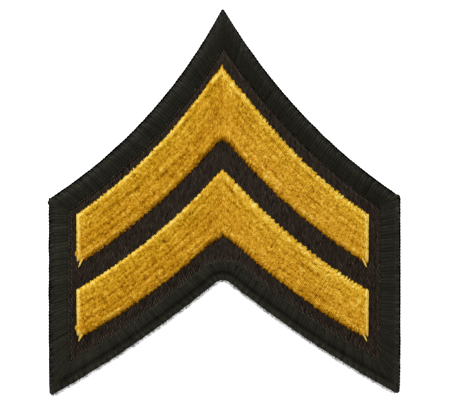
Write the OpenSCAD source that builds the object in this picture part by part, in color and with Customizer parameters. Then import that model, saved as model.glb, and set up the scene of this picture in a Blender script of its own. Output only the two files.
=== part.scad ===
// Rank chevron patch: a black twill patch with a thick overlocked edge and two
// raised gold embroidered chevrons, in millimetres. It lies face up on Z = 0 with
// its peak to +Y, and the origin is the middle of its box at Z = 0.

/* [Patch] */
// Width of the whole patch from side to side
patch_w = 76.2; // [64:0.1:90]
// Thickness of the twill with its backing
ground_t = 1.1; // [1:0.05:1.6]
// Radius of the hollow curve from the peak to each shoulder, mean of the two
edge_r = 113; // [98:1:200]
// Radius of the curve from the notch to each lower corner
foot_r = 245; // [160:5:400]
// Radius that rounds the peak
peak_r = 0.7; // [0.4:0.1:1.6]
// Radius that rounds the two shoulders
shoulder_r = 0.8; // [0.5:0.1:2]
// Radius that rounds the two lower corners
corner_r = 0.9; // [0.5:0.1:2]
// Radius that rounds the notch
notch_r = 2; // [1:0.1:4]

/* [Overlocked edge] */
// Width of the edge's yarn from the outside to its inner needle line
border_w = 4.45; // [3.6:0.05:6]
// How far the yarn stands above the twill, and below it
yarn_h = 0.5; // [0.4:0.05:0.8]
// Thickness of yarn outside the twill's raw edge
rim_w = 1.2; // [0.8:0.05:1.6]

/* [Chevrons] */
// Width of each gold bar, across the arm
bar_w = 9.5; // [7:0.05:12]
// Twill that shows between the two chevrons, across the arm
bar_gap = 4.4; // [1:0.1:6]
// Height of the raised gold embroidery at its crown
gold_t = 0.65; // [0.5:0.05:1.2]
// Radius of the upper chevron's top edge
arm_r = 117; // [111:0.2:180]
// How far the arms' centres of curvature lie to each side of the centre line
arm_side = 98.6; // [70:0.2:101]
// Radius that rounds the chevrons' tips and hollows
tip_r = 0.8; // [0.4:0.1:1.5]
// Radius that rounds the corners at the arms' ends
end_r = 0.4; // [0.3:0.1:1.5]

/* [Twill strips] */
// Twill between the edge and the upper chevron at the peak
peak_strip = 1.6; // [1:0.1:3]
// Twill between the edge and the arms' ends, mean of the two sides
side_strip = 2; // [1.5:0.02:4]
// Twill between the edge and the lower chevron at the notch
notch_strip = 2.85; // [1.5:0.05:5]
// Twill between the edge and the lower chevron at the lower corners, mean
foot_strip = 3.8; // [2.5:0.05:6]

/* [Fit] */
// Gap between two pieces that are sewn together
clearance = 0.1; // [0.06:0.01:0.15]

/* [Hidden] */

BLACK_TWILL = [0.17, 0.14, 0.11];
BLACK_YARN = [0.15, 0.14, 0.12];
GOLD_THREAD = [0.75, 0.55, 0.12];

// The two sides of the patch differ a little: the strips are wider and the hollow
// curve is flatter on the right. Shares of side_strip, foot_strip and edge_r.
SIDE = 0;
STRIP = 1;
FOOT = 2;
HOLLOW = 3;
LEFT = [-1, 0.79, 1.09, 0.93];
RIGHT = [1, 1.21, 0.91, 1.07];

// Yarn's section over the top, from the outer rim to the needle line: a low ridge
// of knots, a crease, then the smooth crown. Shares of border_w and of edge_t.
YARN_TOP = [
    // inset, height
    [0.00, 0.50],
    [0.02, 0.72],
    [0.08, 0.89],
    [0.17, 0.95],
    [0.28, 0.91],
    [0.40, 0.98],
    [0.60, 1.00],
    [0.80, 0.98],
    [0.94, 0.93],
    [1.00, 0.87],
];
// The same along the underside, back to the rim, flat where the patch rests.
YARN_FOOT = [
    // inset, height
    [1.00, 0.09],
    [0.95, 0.00],
    [0.14, 0.00],
    [0.05, 0.10],
    [0.01, 0.28],
];
// Rise of the gold from its seat to its crown. Shares of bar_w and of gold_t.
GOLD_RISE = [
    // inset, height
    [0.000, 0.00],
    [0.000, 0.42],
    [0.025, 0.70],
    [0.075, 0.88],
    [0.160, 0.96],
    [0.270, 0.99],
    [0.380, 1.00],
];

// Steps along each long curve of an outline, and around a rounded corner.
ARM_STEPS = 18;
ROUND_STEPS = 4;
// Rounding that stays on a corner inset past its own radius.
least_r = 0.15;

edge_t = ground_t + 2 * yarn_h;
cloth_top = yarn_h + ground_t;

function strip_w(side) = side_strip * side[STRIP];
gold_w = patch_w - 2 * border_w - strip_w(LEFT) - strip_w(RIGHT);

// Plan geometry is laid out from the centre line, which runs through the peak, the
// chevrons' tips and the notch, and from the level of the arms' centres.
// A curve is [centre, radius, sense], and its sense is 1 if the cloth lies inside
// the circle, or -1 if outside. A straight side is [x, sense], and its sense is the
// way that it faces along X.
function is_side(c) = len(c) == 2;
function inset_r(c, inset) = c[1] - c[2] * inset;
function inset_x(c, inset) = c[0] - c[1] * inset;

// Lowest point at x on a circle.
function below(centre, r, x) = [x, centre.y - sqrt(r * r - pow(x - centre.x, 2))];

// Lower crossing of two circles, the first of which has its centre on the left.
function crossing(c0, r0, c1, r1) =
    let (
        span = norm(c1 - c0),
        u = (c1 - c0) / span,
        along = (r0 * r0 - r1 * r1 + span * span) / (2 * span),
        drop = sqrt(r0 * r0 - along * along)
    ) c0 + along * u + drop * [u.y, -u.x];

// Centre of the circle of radius r through p and q, on their upper side.
function centre_above(p, q, r) =
    let (
        half = (q - p) / 2,
        u = half / norm(half),
        up = u.x > 0 ? [-u.y, u.x] : [u.y, -u.x]
    ) p + half + up * sqrt(r * r - half * half);

// Sharp corner between two curves of an outline after an inset.
function meet(a, b, inset) =
    is_side(a) ? below(b[0], inset_r(b, inset), inset_x(a, inset))
    : is_side(b) ? below(a[0], inset_r(a, inset), inset_x(b, inset))
    : a[0].x < b[0].x ? crossing(a[0], inset_r(a, inset), b[0], inset_r(b, inset))
    : crossing(b[0], inset_r(b, inset), a[0], inset_r(a, inset));

// Direction that a curve faces, away from the cloth, at the point nearest to p.
function facing(c, p) =
    is_side(c) ? (c[1] < 0 ? 180 : 0)
    : let (v = (p - c[0]) * c[2]) atan2(v.y, v.x);

// Shorter turn from angle a to angle b.
function turn(a, b) = let (t = (b - a) % 360) t > 180 ? t - 360 : t < -180 ? t + 360 : t;

// Rounded corner between curves a and b as [centre, radius, start, turn]. A hollow
// one is rounded from outside the cloth, and has a negative radius.
function rounded(a, b, r, hollow, inset) =
    let (
        reach = hollow ? -r : max(r, inset + least_r),
        centre = meet(a, b, reach),
        start = facing(a, centre)
    ) [centre, reach - inset, start, turn(start, facing(b, centre))];

function on_round(k, t) =
    let (a = k[2] + k[3] * t) k[0] + k[1] * [cos(a), sin(a)];

// Points of a curve between two of its points, both left out. A side needs none.
function stretch(c, inset, p, q) =
    is_side(c) ? []
    : let (
        v = p - c[0],
        w = q - c[0],
        start = atan2(v.y, v.x),
        step = turn(start, atan2(w.y, w.x)) / ARM_STEPS
    ) [for (i = [1:ARM_STEPS - 1])
        let (a = start + step * i) c[0] + inset_r(c, inset) * [cos(a), sin(a)]];

// An outline has a row for each curve, counter-clockwise from the peak, with the
// rounding of the corner that the curve starts at.
CURVE = 0;
ROUND = 1;
IS_HOLLOW = 2;
function outline(tops, sides, feet, top_r, high_r, low_r, hollow_r) = [
    // curve, round, is_hollow
    [tops[0], top_r, false],
    [sides[0], high_r, false],
    [feet[0], low_r, false],
    [feet[1], hollow_r, true],
    [sides[1], low_r, false],
    [tops[1], high_r, false],
];

// Every point of an outline after an inset, always as many.
function inset_points(rows, inset) =
    let (
        n = len(rows),
        rounds = [for (i = [0:n - 1]) rounded(
            rows[(i + n - 1) % n][CURVE], rows[i][CURVE],
            rows[i][ROUND], rows[i][IS_HOLLOW], inset)]
    ) [for (i = [0:n - 1]) each concat(
        [for (k = [0:ROUND_STEPS]) on_round(rounds[i], k / ROUND_STEPS)],
        stretch(rows[i][CURVE], inset, on_round(rounds[i], 1), on_round(rounds[(i + 1) % n], 0)))];

// Both arms of every gold edge are arcs about the same two centres.
function arm_centre(side) = [side[SIDE] * arm_side, 0];
function on_arm(side, r, x) = below(arm_centre(side), r, side[SIDE] * x);

function chevron(number) =
    let (
        top_r = arm_r + number * (bar_w + bar_gap),
        low_r = top_r + bar_w
    ) outline(
        [for (s = [LEFT, RIGHT]) [arm_centre(s), top_r, -1]],
        [for (s = [LEFT, RIGHT]) [s[SIDE] * gold_w / 2, s[SIDE]]],
        [for (s = [LEFT, RIGHT]) [arm_centre(s), low_r, 1]],
        tip_r, end_r, end_r, tip_r);

// The patch's corners lie a strip and the border's width out from the gold.
gold_foot_r = arm_r + 2 * bar_w + bar_gap;
peak = on_arm(LEFT, arm_r - peak_strip - border_w, 0);
notch = on_arm(LEFT, gold_foot_r + notch_strip + border_w, 0);
function side_x(side) = gold_w / 2 + strip_w(side) + border_w;
function shoulder(side) = on_arm(side, arm_r - strip_w(side) - border_w, side_x(side));
function corner(side) =
    on_arm(side, gold_foot_r + foot_strip * side[FOOT] + border_w, side_x(side));
function top_curve(side) =
    let (r = edge_r * side[HOLLOW]) [centre_above(shoulder(side), peak, r), r, -1];
function foot_curve(side) = [centre_above(corner(side), notch, foot_r), foot_r, 1];

PATCH = outline(
    [for (s = [LEFT, RIGHT]) top_curve(s)],
    [for (s = [LEFT, RIGHT]) [s[SIDE] * side_x(s), s[SIDE]]],
    [for (s = [LEFT, RIGHT]) foot_curve(s)],
    peak_r, shoulder_r, corner_r, notch_r);

// Where the centre line and the arms' centres lie, with the patch's box centred.
rim = inset_points(PATCH, 0);
line_x = (side_x(LEFT) - side_x(RIGHT)) / 2;
line_y = -(max([for (p = rim) p.y]) + min([for (p = rim) p.y])) / 2;

// Faces across a ring of n points, as a ladder whose rungs cross the arms. Counted
// from the right shoulder, points k and n - 1 - k lie opposite each other.
function ladder(n) =
    let (right_shoulder = n - ROUND_STEPS - ARM_STEPS)
    [for (k = [0:n / 2 - 2])
        [for (i = [k, k + 1, n - 2 - k, n - 1 - k]) (right_shoulder + i) % n]];

// Solid through insets of one outline, a row of [inset, z] for each. A closed one
// joins its last row to its first, and an open one is capped at both.
module lofted(rows, section, closed) {
    rings = [for (s = section) [for (p = inset_points(rows, s[0])) [p.x, p.y, s[1]]]];
    n = len(rings[0]);
    m = len(rings);
    walls = [for (j = [0:closed ? m - 1 : m - 2], i = [0:n - 1])
        let (up = (j + 1) % m, on = (i + 1) % n)
        [j * n + i, up * n + i, up * n + on, j * n + on]];
    caps = closed ? [] : concat(ladder(n),
        [for (rung = ladder(n)) [for (i = [3:-1:0]) (m - 1) * n + rung[i]]]);
    polyhedron([for (ring = rings) each ring], concat(walls, caps), convexity = 6);
}

module laid_out() translate([line_x, line_y, 0]) children();

module ground_cloth() color(BLACK_TWILL)
    laid_out() translate([0, 0, yarn_h])
        linear_extrude(ground_t) polygon(inset_points(PATCH, rim_w));

// The yarn wraps the cloth's edge, so its section is a C with the cloth in its slot.
module merrowed_edge() color(BLACK_YARN) {
    slot_end = rim_w - clearance;
    slot_top = cloth_top + clearance;
    slot_foot = yarn_h - clearance;
    slot = [[border_w, slot_top], [slot_end, slot_top], [slot_end, slot_foot], [border_w, slot_foot]];
    wrap = [for (r = YARN_TOP) [r[0] * border_w, r[1] * edge_t]];
    under = [for (r = YARN_FOOT) [r[0] * border_w, r[1] * edge_t]];
    laid_out() lofted(PATCH, concat(wrap, slot, under), closed = true);
}

module gold_bar(number) color(GOLD_THREAD)
    laid_out() translate([0, 0, cloth_top + clearance])
        lofted(chevron(number), [for (r = GOLD_RISE) [r[0] * bar_w, r[1] * gold_t]], closed = false);

module upper_chevron() gold_bar(0);
module lower_chevron() gold_bar(1);

ground_cloth();
merrowed_edge();
upper_chevron();
lower_chevron();
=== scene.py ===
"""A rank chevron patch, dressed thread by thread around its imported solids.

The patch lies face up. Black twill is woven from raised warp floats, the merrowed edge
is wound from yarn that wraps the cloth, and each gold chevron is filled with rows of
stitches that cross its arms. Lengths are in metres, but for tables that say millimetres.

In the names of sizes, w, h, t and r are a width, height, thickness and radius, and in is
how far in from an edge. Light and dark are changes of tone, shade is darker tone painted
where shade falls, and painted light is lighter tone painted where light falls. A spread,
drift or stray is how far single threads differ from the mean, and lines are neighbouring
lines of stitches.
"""

from __future__ import annotations

import logging
import math
from dataclasses import dataclass, field, replace
from enum import Enum

import bpy
import numpy as np
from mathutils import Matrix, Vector


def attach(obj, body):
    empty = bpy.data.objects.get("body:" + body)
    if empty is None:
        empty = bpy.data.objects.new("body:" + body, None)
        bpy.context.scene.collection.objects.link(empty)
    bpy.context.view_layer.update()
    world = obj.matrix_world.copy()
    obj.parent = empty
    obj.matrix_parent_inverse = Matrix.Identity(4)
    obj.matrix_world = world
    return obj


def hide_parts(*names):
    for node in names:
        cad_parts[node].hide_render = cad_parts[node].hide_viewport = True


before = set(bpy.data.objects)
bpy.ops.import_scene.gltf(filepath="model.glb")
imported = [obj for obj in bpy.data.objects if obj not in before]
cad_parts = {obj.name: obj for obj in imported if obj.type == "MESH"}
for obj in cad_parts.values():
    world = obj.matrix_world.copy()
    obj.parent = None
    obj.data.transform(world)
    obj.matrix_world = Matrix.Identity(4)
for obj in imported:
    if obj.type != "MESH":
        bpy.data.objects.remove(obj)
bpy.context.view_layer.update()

Array = np.ndarray
Colour = tuple[float, float, float]
Ramp = tuple[tuple[float, Colour], ...]
LOG = logging.getLogger("rank_patch")
MM = 0.001
TAU = 2 * math.pi
TINY = 1e-12
UP = np.array([0.0, 0.0, 1.0])
WHITE = (1.0, 1.0, 1.0)
MEAN_WARMTH = 0.5
# The twill's diagonal ribs, which its floats and its panel share.
RIB_PITCH = 0.6 * MM
RIB_LEAN = math.radians(62)


class Side(Enum):
    """The two halves of the patch, as the way each lies from the centre line."""

    LEFT = -1
    RIGHT = 1


class Node(Enum):
    """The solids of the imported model."""

    CLOTH = "ground_cloth"
    EDGE = "merrowed_edge"
    UPPER = "upper_chevron"
    LOWER = "lower_chevron"


class Slot(Enum):
    """The record's material slots."""

    TWILL = "black_twill"
    YARN = "black_yarn"
    GOLD = "gold_thread"


def unit(vectors: Array) -> Array:
    """Scale vectors, which lie along the last axis, to length one."""
    return vectors / np.maximum(np.linalg.norm(vectors, axis=-1, keepdims=True), TINY)


def heading(angle: Array | float) -> Array:
    """Turn angles from +X into unit vectors, with a last axis of two."""
    return np.stack([np.cos(angle), np.sin(angle)], axis=-1)


def turn(start: float, end: float) -> float:
    """Return the shorter turn from one angle to another, in radians."""
    return (end - start + math.pi) % TAU - math.pi


def smooth_through(points: Array, count: int) -> Array:
    """Lay evenly spaced points on a smooth curve through a few given ones.

    Args:
        points: The points to pass through, one a row.
        count: How many points to return.

    Returns:
        The points of a Catmull-Rom curve, evenly spaced along it.
    """
    fine = 12
    padded = np.vstack([2 * points[0] - points[1], points, 2 * points[-1] - points[-2]])
    t = np.linspace(0, 1, fine, endpoint=False)[:, None]
    dense = []
    for a, b, c, d in zip(padded, padded[1:], padded[2:], padded[3:]):
        bend = 2 * a - 5 * b + 4 * c - d
        twist = 3 * (b - c) + d - a
        dense.append(0.5 * (2 * b + (c - a) * t + bend * t**2 + twist * t**3))
    dense = np.vstack([*dense, points[-1:]])
    run = np.concatenate([[0], np.cumsum(np.linalg.norm(np.diff(dense, axis=0), axis=1))])
    even = np.linspace(0, run[-1], count)
    return np.stack([np.interp(even, run, column) for column in dense.T], axis=-1)


def soft_noise(rng: np.random.Generator, shape: tuple[int, int], widths: tuple) -> Array:
    """Draw noise that changes slowly down the rows and along the columns of a grid.

    Args:
        rng: The random generator.
        shape: The grid's rows and columns.
        widths: How many rows, then columns, the noise keeps its value for.

    Returns:
        The noise, with a mean of 0 and a spread of 1.
    """
    grid = rng.normal(0, 1, shape)
    for axis, width in enumerate(widths):
        half = 3 * math.ceil(width)
        kernel = np.exp(-0.5 * (np.arange(-half, half + 1) / width) ** 2)
        edge = [(half, half) if axis == k else (0, 0) for k in (0, 1)]
        padded = np.pad(grid, edge, mode="reflect")
        grid = np.apply_along_axis(np.convolve, axis, padded, kernel, "valid")
    return grid / grid.std()


def bell(values: Array, middle: Array | float, width: float) -> Array:
    """Weigh values by a bell curve: 1 in its middle, and about a third a width away."""
    return np.exp(-(((values - middle) / width) ** 2))


def inside(points: Array, polygon: Array) -> Array:
    """Test which points lie inside a closed polygon.

    Args:
        points: Points in the plane, one a row.
        polygon: The polygon's corners, one a row.

    Returns:
        A boolean for each point.
    """
    x, y = points[:, 0], points[:, 1]
    found = np.zeros(len(points), bool)
    for (x0, y0), (x1, y1) in zip(polygon, np.roll(polygon, -1, axis=0)):
        if y0 == y1:
            continue
        spans = (y0 > y) != (y1 > y)
        found ^= spans & (x < x0 + (y - y0) * (x1 - x0) / (y1 - y0))
    return found


@dataclass(frozen=True)
class Curve:
    """One curve of an outline: an arc, or a straight side where the radius is zero.

    The sense of an arc is 1 if the cloth lies inside the circle and -1 if outside. The
    sense of a side is the way that it faces along X.
    """

    x: float
    y: float
    radius: float
    sense: int

    @property
    def is_side(self) -> bool:
        """Return whether the curve is a straight side."""
        return self.radius == 0

    @property
    def centre(self) -> Array:
        """Return the centre of the arc."""
        return np.array([self.x, self.y])

    def inset_radius(self, inset: float) -> float:
        """Return the arc's radius after an inset."""
        return self.radius - self.sense * inset

    def inset_x(self, inset: float) -> float:
        """Return a side's X after an inset."""
        return self.x - self.sense * inset

    def below(self, inset: float, x: float) -> Array:
        """Return the arc's lowest point at some X, after an inset."""
        reach = self.inset_radius(inset)
        return np.array([x, self.y - math.sqrt(reach**2 - (x - self.x) ** 2)])

    def at(self, value: Array, inset: float) -> Array:
        """Place points on the curve after an inset.

        Args:
            value: Their angles about an arc's centre, or their Y on a side.
            inset: How far the curve is inset.

        Returns:
            The points, with a last axis of two.
        """
        if self.is_side:
            return np.stack([np.full_like(value, self.inset_x(inset)), value], -1)
        return self.centre + self.inset_radius(inset) * heading(value)

    def facing(self, point: Array) -> float:
        """Find which way the curve faces, away from the cloth.

        Args:
            point: A point on the curve, or straight in or out from there.

        Returns:
            The angle from +X.
        """
        if self.is_side:
            return math.pi if self.sense < 0 else 0.0
        away = (point - self.centre) * self.sense
        return math.atan2(away[1], away[0])


def crossing(left: Curve, right: Curve, inset: float) -> Array:
    """Find the lower crossing of two inset arcs.

    Args:
        left: The arc whose centre lies further to the left.
        right: The other arc.
        inset: How far both are inset.

    Returns:
        The point where they cross.
    """
    r0, r1 = left.inset_radius(inset), right.inset_radius(inset)
    span = right.centre - left.centre
    length = float(np.linalg.norm(span))
    u = span / length
    along = (r0**2 - r1**2 + length**2) / (2 * length)
    drop = math.sqrt(r0**2 - along**2)
    return left.centre + along * u + drop * np.array([u[1], -u[0]])


def meet(a: Curve, b: Curve, inset: float) -> Array:
    """Find the sharp corner between two neighbouring curves after an inset.

    Args:
        a: The curve before the corner.
        b: The curve after it.
        inset: How far both are inset.

    Returns:
        The corner point.
    """
    if a.is_side:
        return b.below(inset, a.inset_x(inset))
    if b.is_side:
        return a.below(inset, b.inset_x(inset))
    first, second = (a, b) if a.x < b.x else (b, a)
    return crossing(first, second, inset)


@dataclass(frozen=True)
class Corner:
    """A rounded corner of an outline, and the curve that follows it."""

    curve: Curve
    rounding: float
    is_hollow: bool = False


@dataclass(frozen=True)
class Round:
    """The arc that rounds a corner at one inset."""

    centre: Array
    radius: float
    start: float
    sweep: float

    def at(self, share: Array | float) -> Array:
        """Return the points at shares of the arc."""
        return self.centre + self.radius * heading(self.start + self.sweep * np.asarray(share))


@dataclass
class Outline:
    """A closed outline, counter-clockwise from its peak, that can be inset.

    Lines across its edge band stand square to it, and fan out near the corners.
    """

    corners: list[Corner]
    least_round: float = 0.15 * MM
    band: float = 4.45 * MM
    fan: float = 1.3
    least_fan: float = 1.5 * MM

    def rounds(self, inset: float) -> list[Round]:
        """Work out the rounded corners at one inset.

        Args:
            inset: How far the outline is inset.

        Returns:
            One arc for each corner.
        """
        found = []
        for i, corner in enumerate(self.corners):
            before = self.corners[i - 1].curve
            reach = max(corner.rounding, inset + self.least_round)
            if corner.is_hollow:
                reach = -corner.rounding
            centre = meet(before, corner.curve, reach)
            start = before.facing(centre)
            sweep = turn(start, corner.curve.facing(centre))
            found.append(Round(centre, reach - inset, start, sweep))
        return found

    def stretches(self, inset: float) -> list[tuple[float, float]]:
        """Find where each curve starts and ends between its rounded corners.

        Args:
            inset: How far the outline is inset.

        Returns:
            A start and an end for each curve: angles about an arc's centre, or a side's Y.
        """
        rounds = self.rounds(inset)
        found = []
        for i, corner in enumerate(self.corners):
            p = rounds[i].at(1.0)
            q = rounds[(i + 1) % len(rounds)].at(0.0)
            if corner.curve.is_side:
                found.append((float(p[1]), float(q[1])))
                continue
            v, w = p - corner.curve.centre, q - corner.curve.centre
            start = math.atan2(v[1], v[0])
            found.append((start, start + turn(start, math.atan2(w[1], w[0]))))
        return found

    def lengths(self) -> Array:
        """Measure each rounded corner and curve in turn, on the rim.

        Returns:
            Their lengths.
        """
        found = []
        for corner, arc, (start, end) in zip(self.corners, self.rounds(0), self.stretches(0)):
            radius = 1.0 if corner.curve.is_side else corner.curve.radius
            found += [abs(arc.radius * arc.sweep), radius * abs(end - start)]
        return np.array(found)

    def locate(self, run: Array) -> tuple[Array, Array]:
        """Find which part of the rim some distances along it fall on.

        Args:
            run: Distances along the rim from the peak's corner, which may pass its end.

        Returns:
            The part's index, even for a corner and odd for a curve, and the share of it.
        """
        lengths = self.lengths()
        ends = np.cumsum(lengths)
        run = np.mod(run, ends[-1])
        part = np.minimum(np.searchsorted(ends, run, side="right"), len(lengths) - 1)
        return part, (run - (ends - lengths)[part]) / lengths[part]

    def place(self, run: Array, inset: float) -> Array:
        """Place points across the edge band, opposite distances along the rim.

        Args:
            run: Distances along the rim.
            inset: How far from the rim the points lie.

        Returns:
            The points, with a last axis of two.
        """
        part, share = self.locate(run)
        arcs, spans = self.rounds(inset), self.stretches(inset)
        rim, full = self.stretches(0), self.stretches(self.band)
        lengths = self.lengths()
        points = np.zeros((*np.shape(run), 2))
        for i, corner in enumerate(self.corners):
            on = part == 2 * i
            points[on] = arcs[i].at(share[on])
            on = part == 2 * i + 1
            length, curve = lengths[2 * i + 1], corner.curve
            scale = 1.0 if curve.is_side else curve.radius
            value = rim[i][0] + (rim[i][1] - rim[i][0]) * share[on]
            for end, away in ((0, share[on]), (1, 1 - share[on])):
                reach = abs(full[i][end] - rim[i][end]) * scale
                fade = max(self.fan * reach, self.least_fan)
                value = value + (spans[i][end] - rim[i][end]) * np.exp(-away * length / fade)
            points[on] = curve.at(value, inset)
        return points

    def ring(self, inset: float, arm_steps: int = 48, round_steps: int = 5) -> Array:
        """Trace the whole outline at one inset.

        Args:
            inset: How far the outline is inset.
            arm_steps: Steps along each arc.
            round_steps: Steps around each corner.

        Returns:
            The closed polygon's points, always as many.
        """
        rounds = self.rounds(inset)
        points = []
        for i, (corner, span) in enumerate(zip(self.corners, self.stretches(inset))):
            points.append(rounds[i].at(np.linspace(0, 1, round_steps + 1)))
            share = np.linspace(0, 1, arm_steps + 1)[1:-1]
            value = span[0] + (span[1] - span[0]) * share
            points.append(corner.curve.at(value, inset))
        return np.vstack(points)


@dataclass(frozen=True)
class Shares:
    """How one side of the patch departs from the mean of the two."""

    strip: float
    foot: float
    hollow: float


@dataclass
class PatchPlan:
    """The patch's layout, in the driving sizes of its solids.

    Plan points are measured from the centre line and from the level of the centres that
    the arms' arcs share.
    """

    patch_w: float = 76.2 * MM
    ground_t: float = 1.1 * MM
    edge_r: float = 113 * MM
    foot_r: float = 245 * MM
    peak_r: float = 0.7 * MM
    shoulder_r: float = 0.8 * MM
    corner_r: float = 0.9 * MM
    notch_r: float = 2 * MM
    border_w: float = 4.45 * MM
    yarn_h: float = 0.5 * MM
    rim_w: float = 1.2 * MM
    bar_w: float = 9.5 * MM
    bar_gap: float = 4.4 * MM
    gold_t: float = 0.65 * MM
    arm_r: float = 117 * MM
    arm_side: float = 98.6 * MM
    tip_r: float = 0.8 * MM
    end_r: float = 0.4 * MM
    peak_strip: float = 1.6 * MM
    side_strip: float = 2 * MM
    notch_strip: float = 2.85 * MM
    foot_strip: float = 3.8 * MM
    clearance: float = 0.1 * MM
    shares: dict[Side, Shares] = field(
        default_factory=lambda: {
            Side.LEFT: Shares(strip=0.79, foot=1.09, hollow=0.93),
            Side.RIGHT: Shares(strip=1.21, foot=0.91, hollow=1.07),
        }
    )

    gold_w: float = field(init=False)
    edge_t: float = field(init=False)
    cloth_top: float = field(init=False)
    rim: Outline = field(init=False)
    shift: Array = field(init=False)

    def __post_init__(self) -> None:
        """Trace the outline and centre the patch on the origin."""
        strips = sum(self.strip(side) for side in Side)
        self.gold_w = self.patch_w - 2 * self.border_w - strips
        self.edge_t = self.ground_t + 2 * self.yarn_h
        self.cloth_top = self.yarn_h + self.ground_t
        self.rim = self.patch_outline()
        ring = self.rim.ring(0)
        self.shift = -(ring.min(0) + ring.max(0)) / 2

    def strip(self, side: Side) -> float:
        """Return the twill strip beside the arms' ends."""
        return self.side_strip * self.shares[side].strip

    def side_x(self, side: Side) -> float:
        """Return how far the patch reaches to one side of the centre line."""
        return self.gold_w / 2 + self.strip(side) + self.border_w

    def arm_curve(self, side: Side, radius: float, sense: int) -> Curve:
        """Return an arc about the centre that one side's arms share."""
        return Curve(side.value * self.arm_side, 0.0, radius, sense)

    def on_arm(self, side: Side, radius: float, x: float) -> Array:
        """Return the point of such an arc at some distance out from the centre line."""
        return self.arm_curve(side, radius, 1).below(0, side.value * x)

    def bar_radii(self, number: int) -> tuple[float, float]:
        """Return the radii of a gold bar's upper and lower edge."""
        top = self.arm_r + number * (self.bar_w + self.bar_gap)
        return top, top + self.bar_w

    def chevron_outline(self, number: int) -> Outline:
        """Lay out one gold bar.

        Args:
            number: 0 for the upper bar, 1 for the lower.

        Returns:
            The bar's outline.
        """
        top_r, low_r = self.bar_radii(number)
        tops = {s: self.arm_curve(s, top_r, -1) for s in Side}
        feet = {s: self.arm_curve(s, low_r, 1) for s in Side}
        ends = {s: Curve(s.value * self.gold_w / 2, 0.0, 0.0, s.value) for s in Side}
        return Outline(
            [
                Corner(tops[Side.LEFT], self.tip_r),
                Corner(ends[Side.LEFT], self.end_r),
                Corner(feet[Side.LEFT], self.end_r),
                Corner(feet[Side.RIGHT], self.tip_r, is_hollow=True),
                Corner(ends[Side.RIGHT], self.end_r),
                Corner(tops[Side.RIGHT], self.end_r),
            ]
        )

    def arc_above(self, p: Array, q: Array, radius: float, sense: int) -> Curve:
        """Pass an arc through two points, with its centre above them.

        Args:
            p: One point.
            q: The other point.
            radius: The arc's radius.
            sense: The arc's sense.

        Returns:
            The arc.
        """
        half = (q - p) / 2
        u = half / np.linalg.norm(half)
        up = np.array([-u[1], u[0]]) * math.copysign(1, u[0])
        centre = p + half + up * math.sqrt(radius**2 - half @ half)
        return Curve(float(centre[0]), float(centre[1]), radius, sense)

    def patch_outline(self) -> Outline:
        """Lay out the rim of the whole patch, a strip and a border out from the gold.

        Returns:
            The rim's outline.
        """
        peak = self.on_arm(Side.LEFT, self.arm_r - self.peak_strip - self.border_w, 0)
        foot = self.bar_radii(1)[1] + self.border_w
        notch = self.on_arm(Side.LEFT, foot + self.notch_strip, 0)
        tops, feet, sides = {}, {}, {}
        for side in Side:
            out, share = self.side_x(side), self.shares[side]
            shoulder = self.on_arm(side, self.arm_r - self.strip(side) - self.border_w, out)
            corner = self.on_arm(side, foot + self.foot_strip * share.foot, out)
            tops[side] = self.arc_above(shoulder, peak, self.edge_r * share.hollow, -1)
            feet[side] = self.arc_above(corner, notch, self.foot_r, 1)
            sides[side] = Curve(side.value * out, 0.0, 0.0, side.value)
        return Outline(
            [
                Corner(tops[Side.LEFT], self.peak_r),
                Corner(sides[Side.LEFT], self.shoulder_r),
                Corner(feet[Side.LEFT], self.corner_r),
                Corner(feet[Side.RIGHT], self.notch_r, is_hollow=True),
                Corner(sides[Side.RIGHT], self.corner_r),
                Corner(tops[Side.RIGHT], self.shoulder_r),
            ],
            band=self.border_w,
        )

    def lift(self, plan: Array, height: Array | float) -> Array:
        """Raise plan points to a height, in the frame of the solids.

        Args:
            plan: Plan points, with a last axis of two.
            height: Their heights.

        Returns:
            Points with a last axis of three.
        """
        plan = plan + self.shift
        heights = np.broadcast_to(np.asarray(height, float), plan.shape[:-1])
        return np.concatenate([plan, heights[..., None]], axis=-1)


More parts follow.
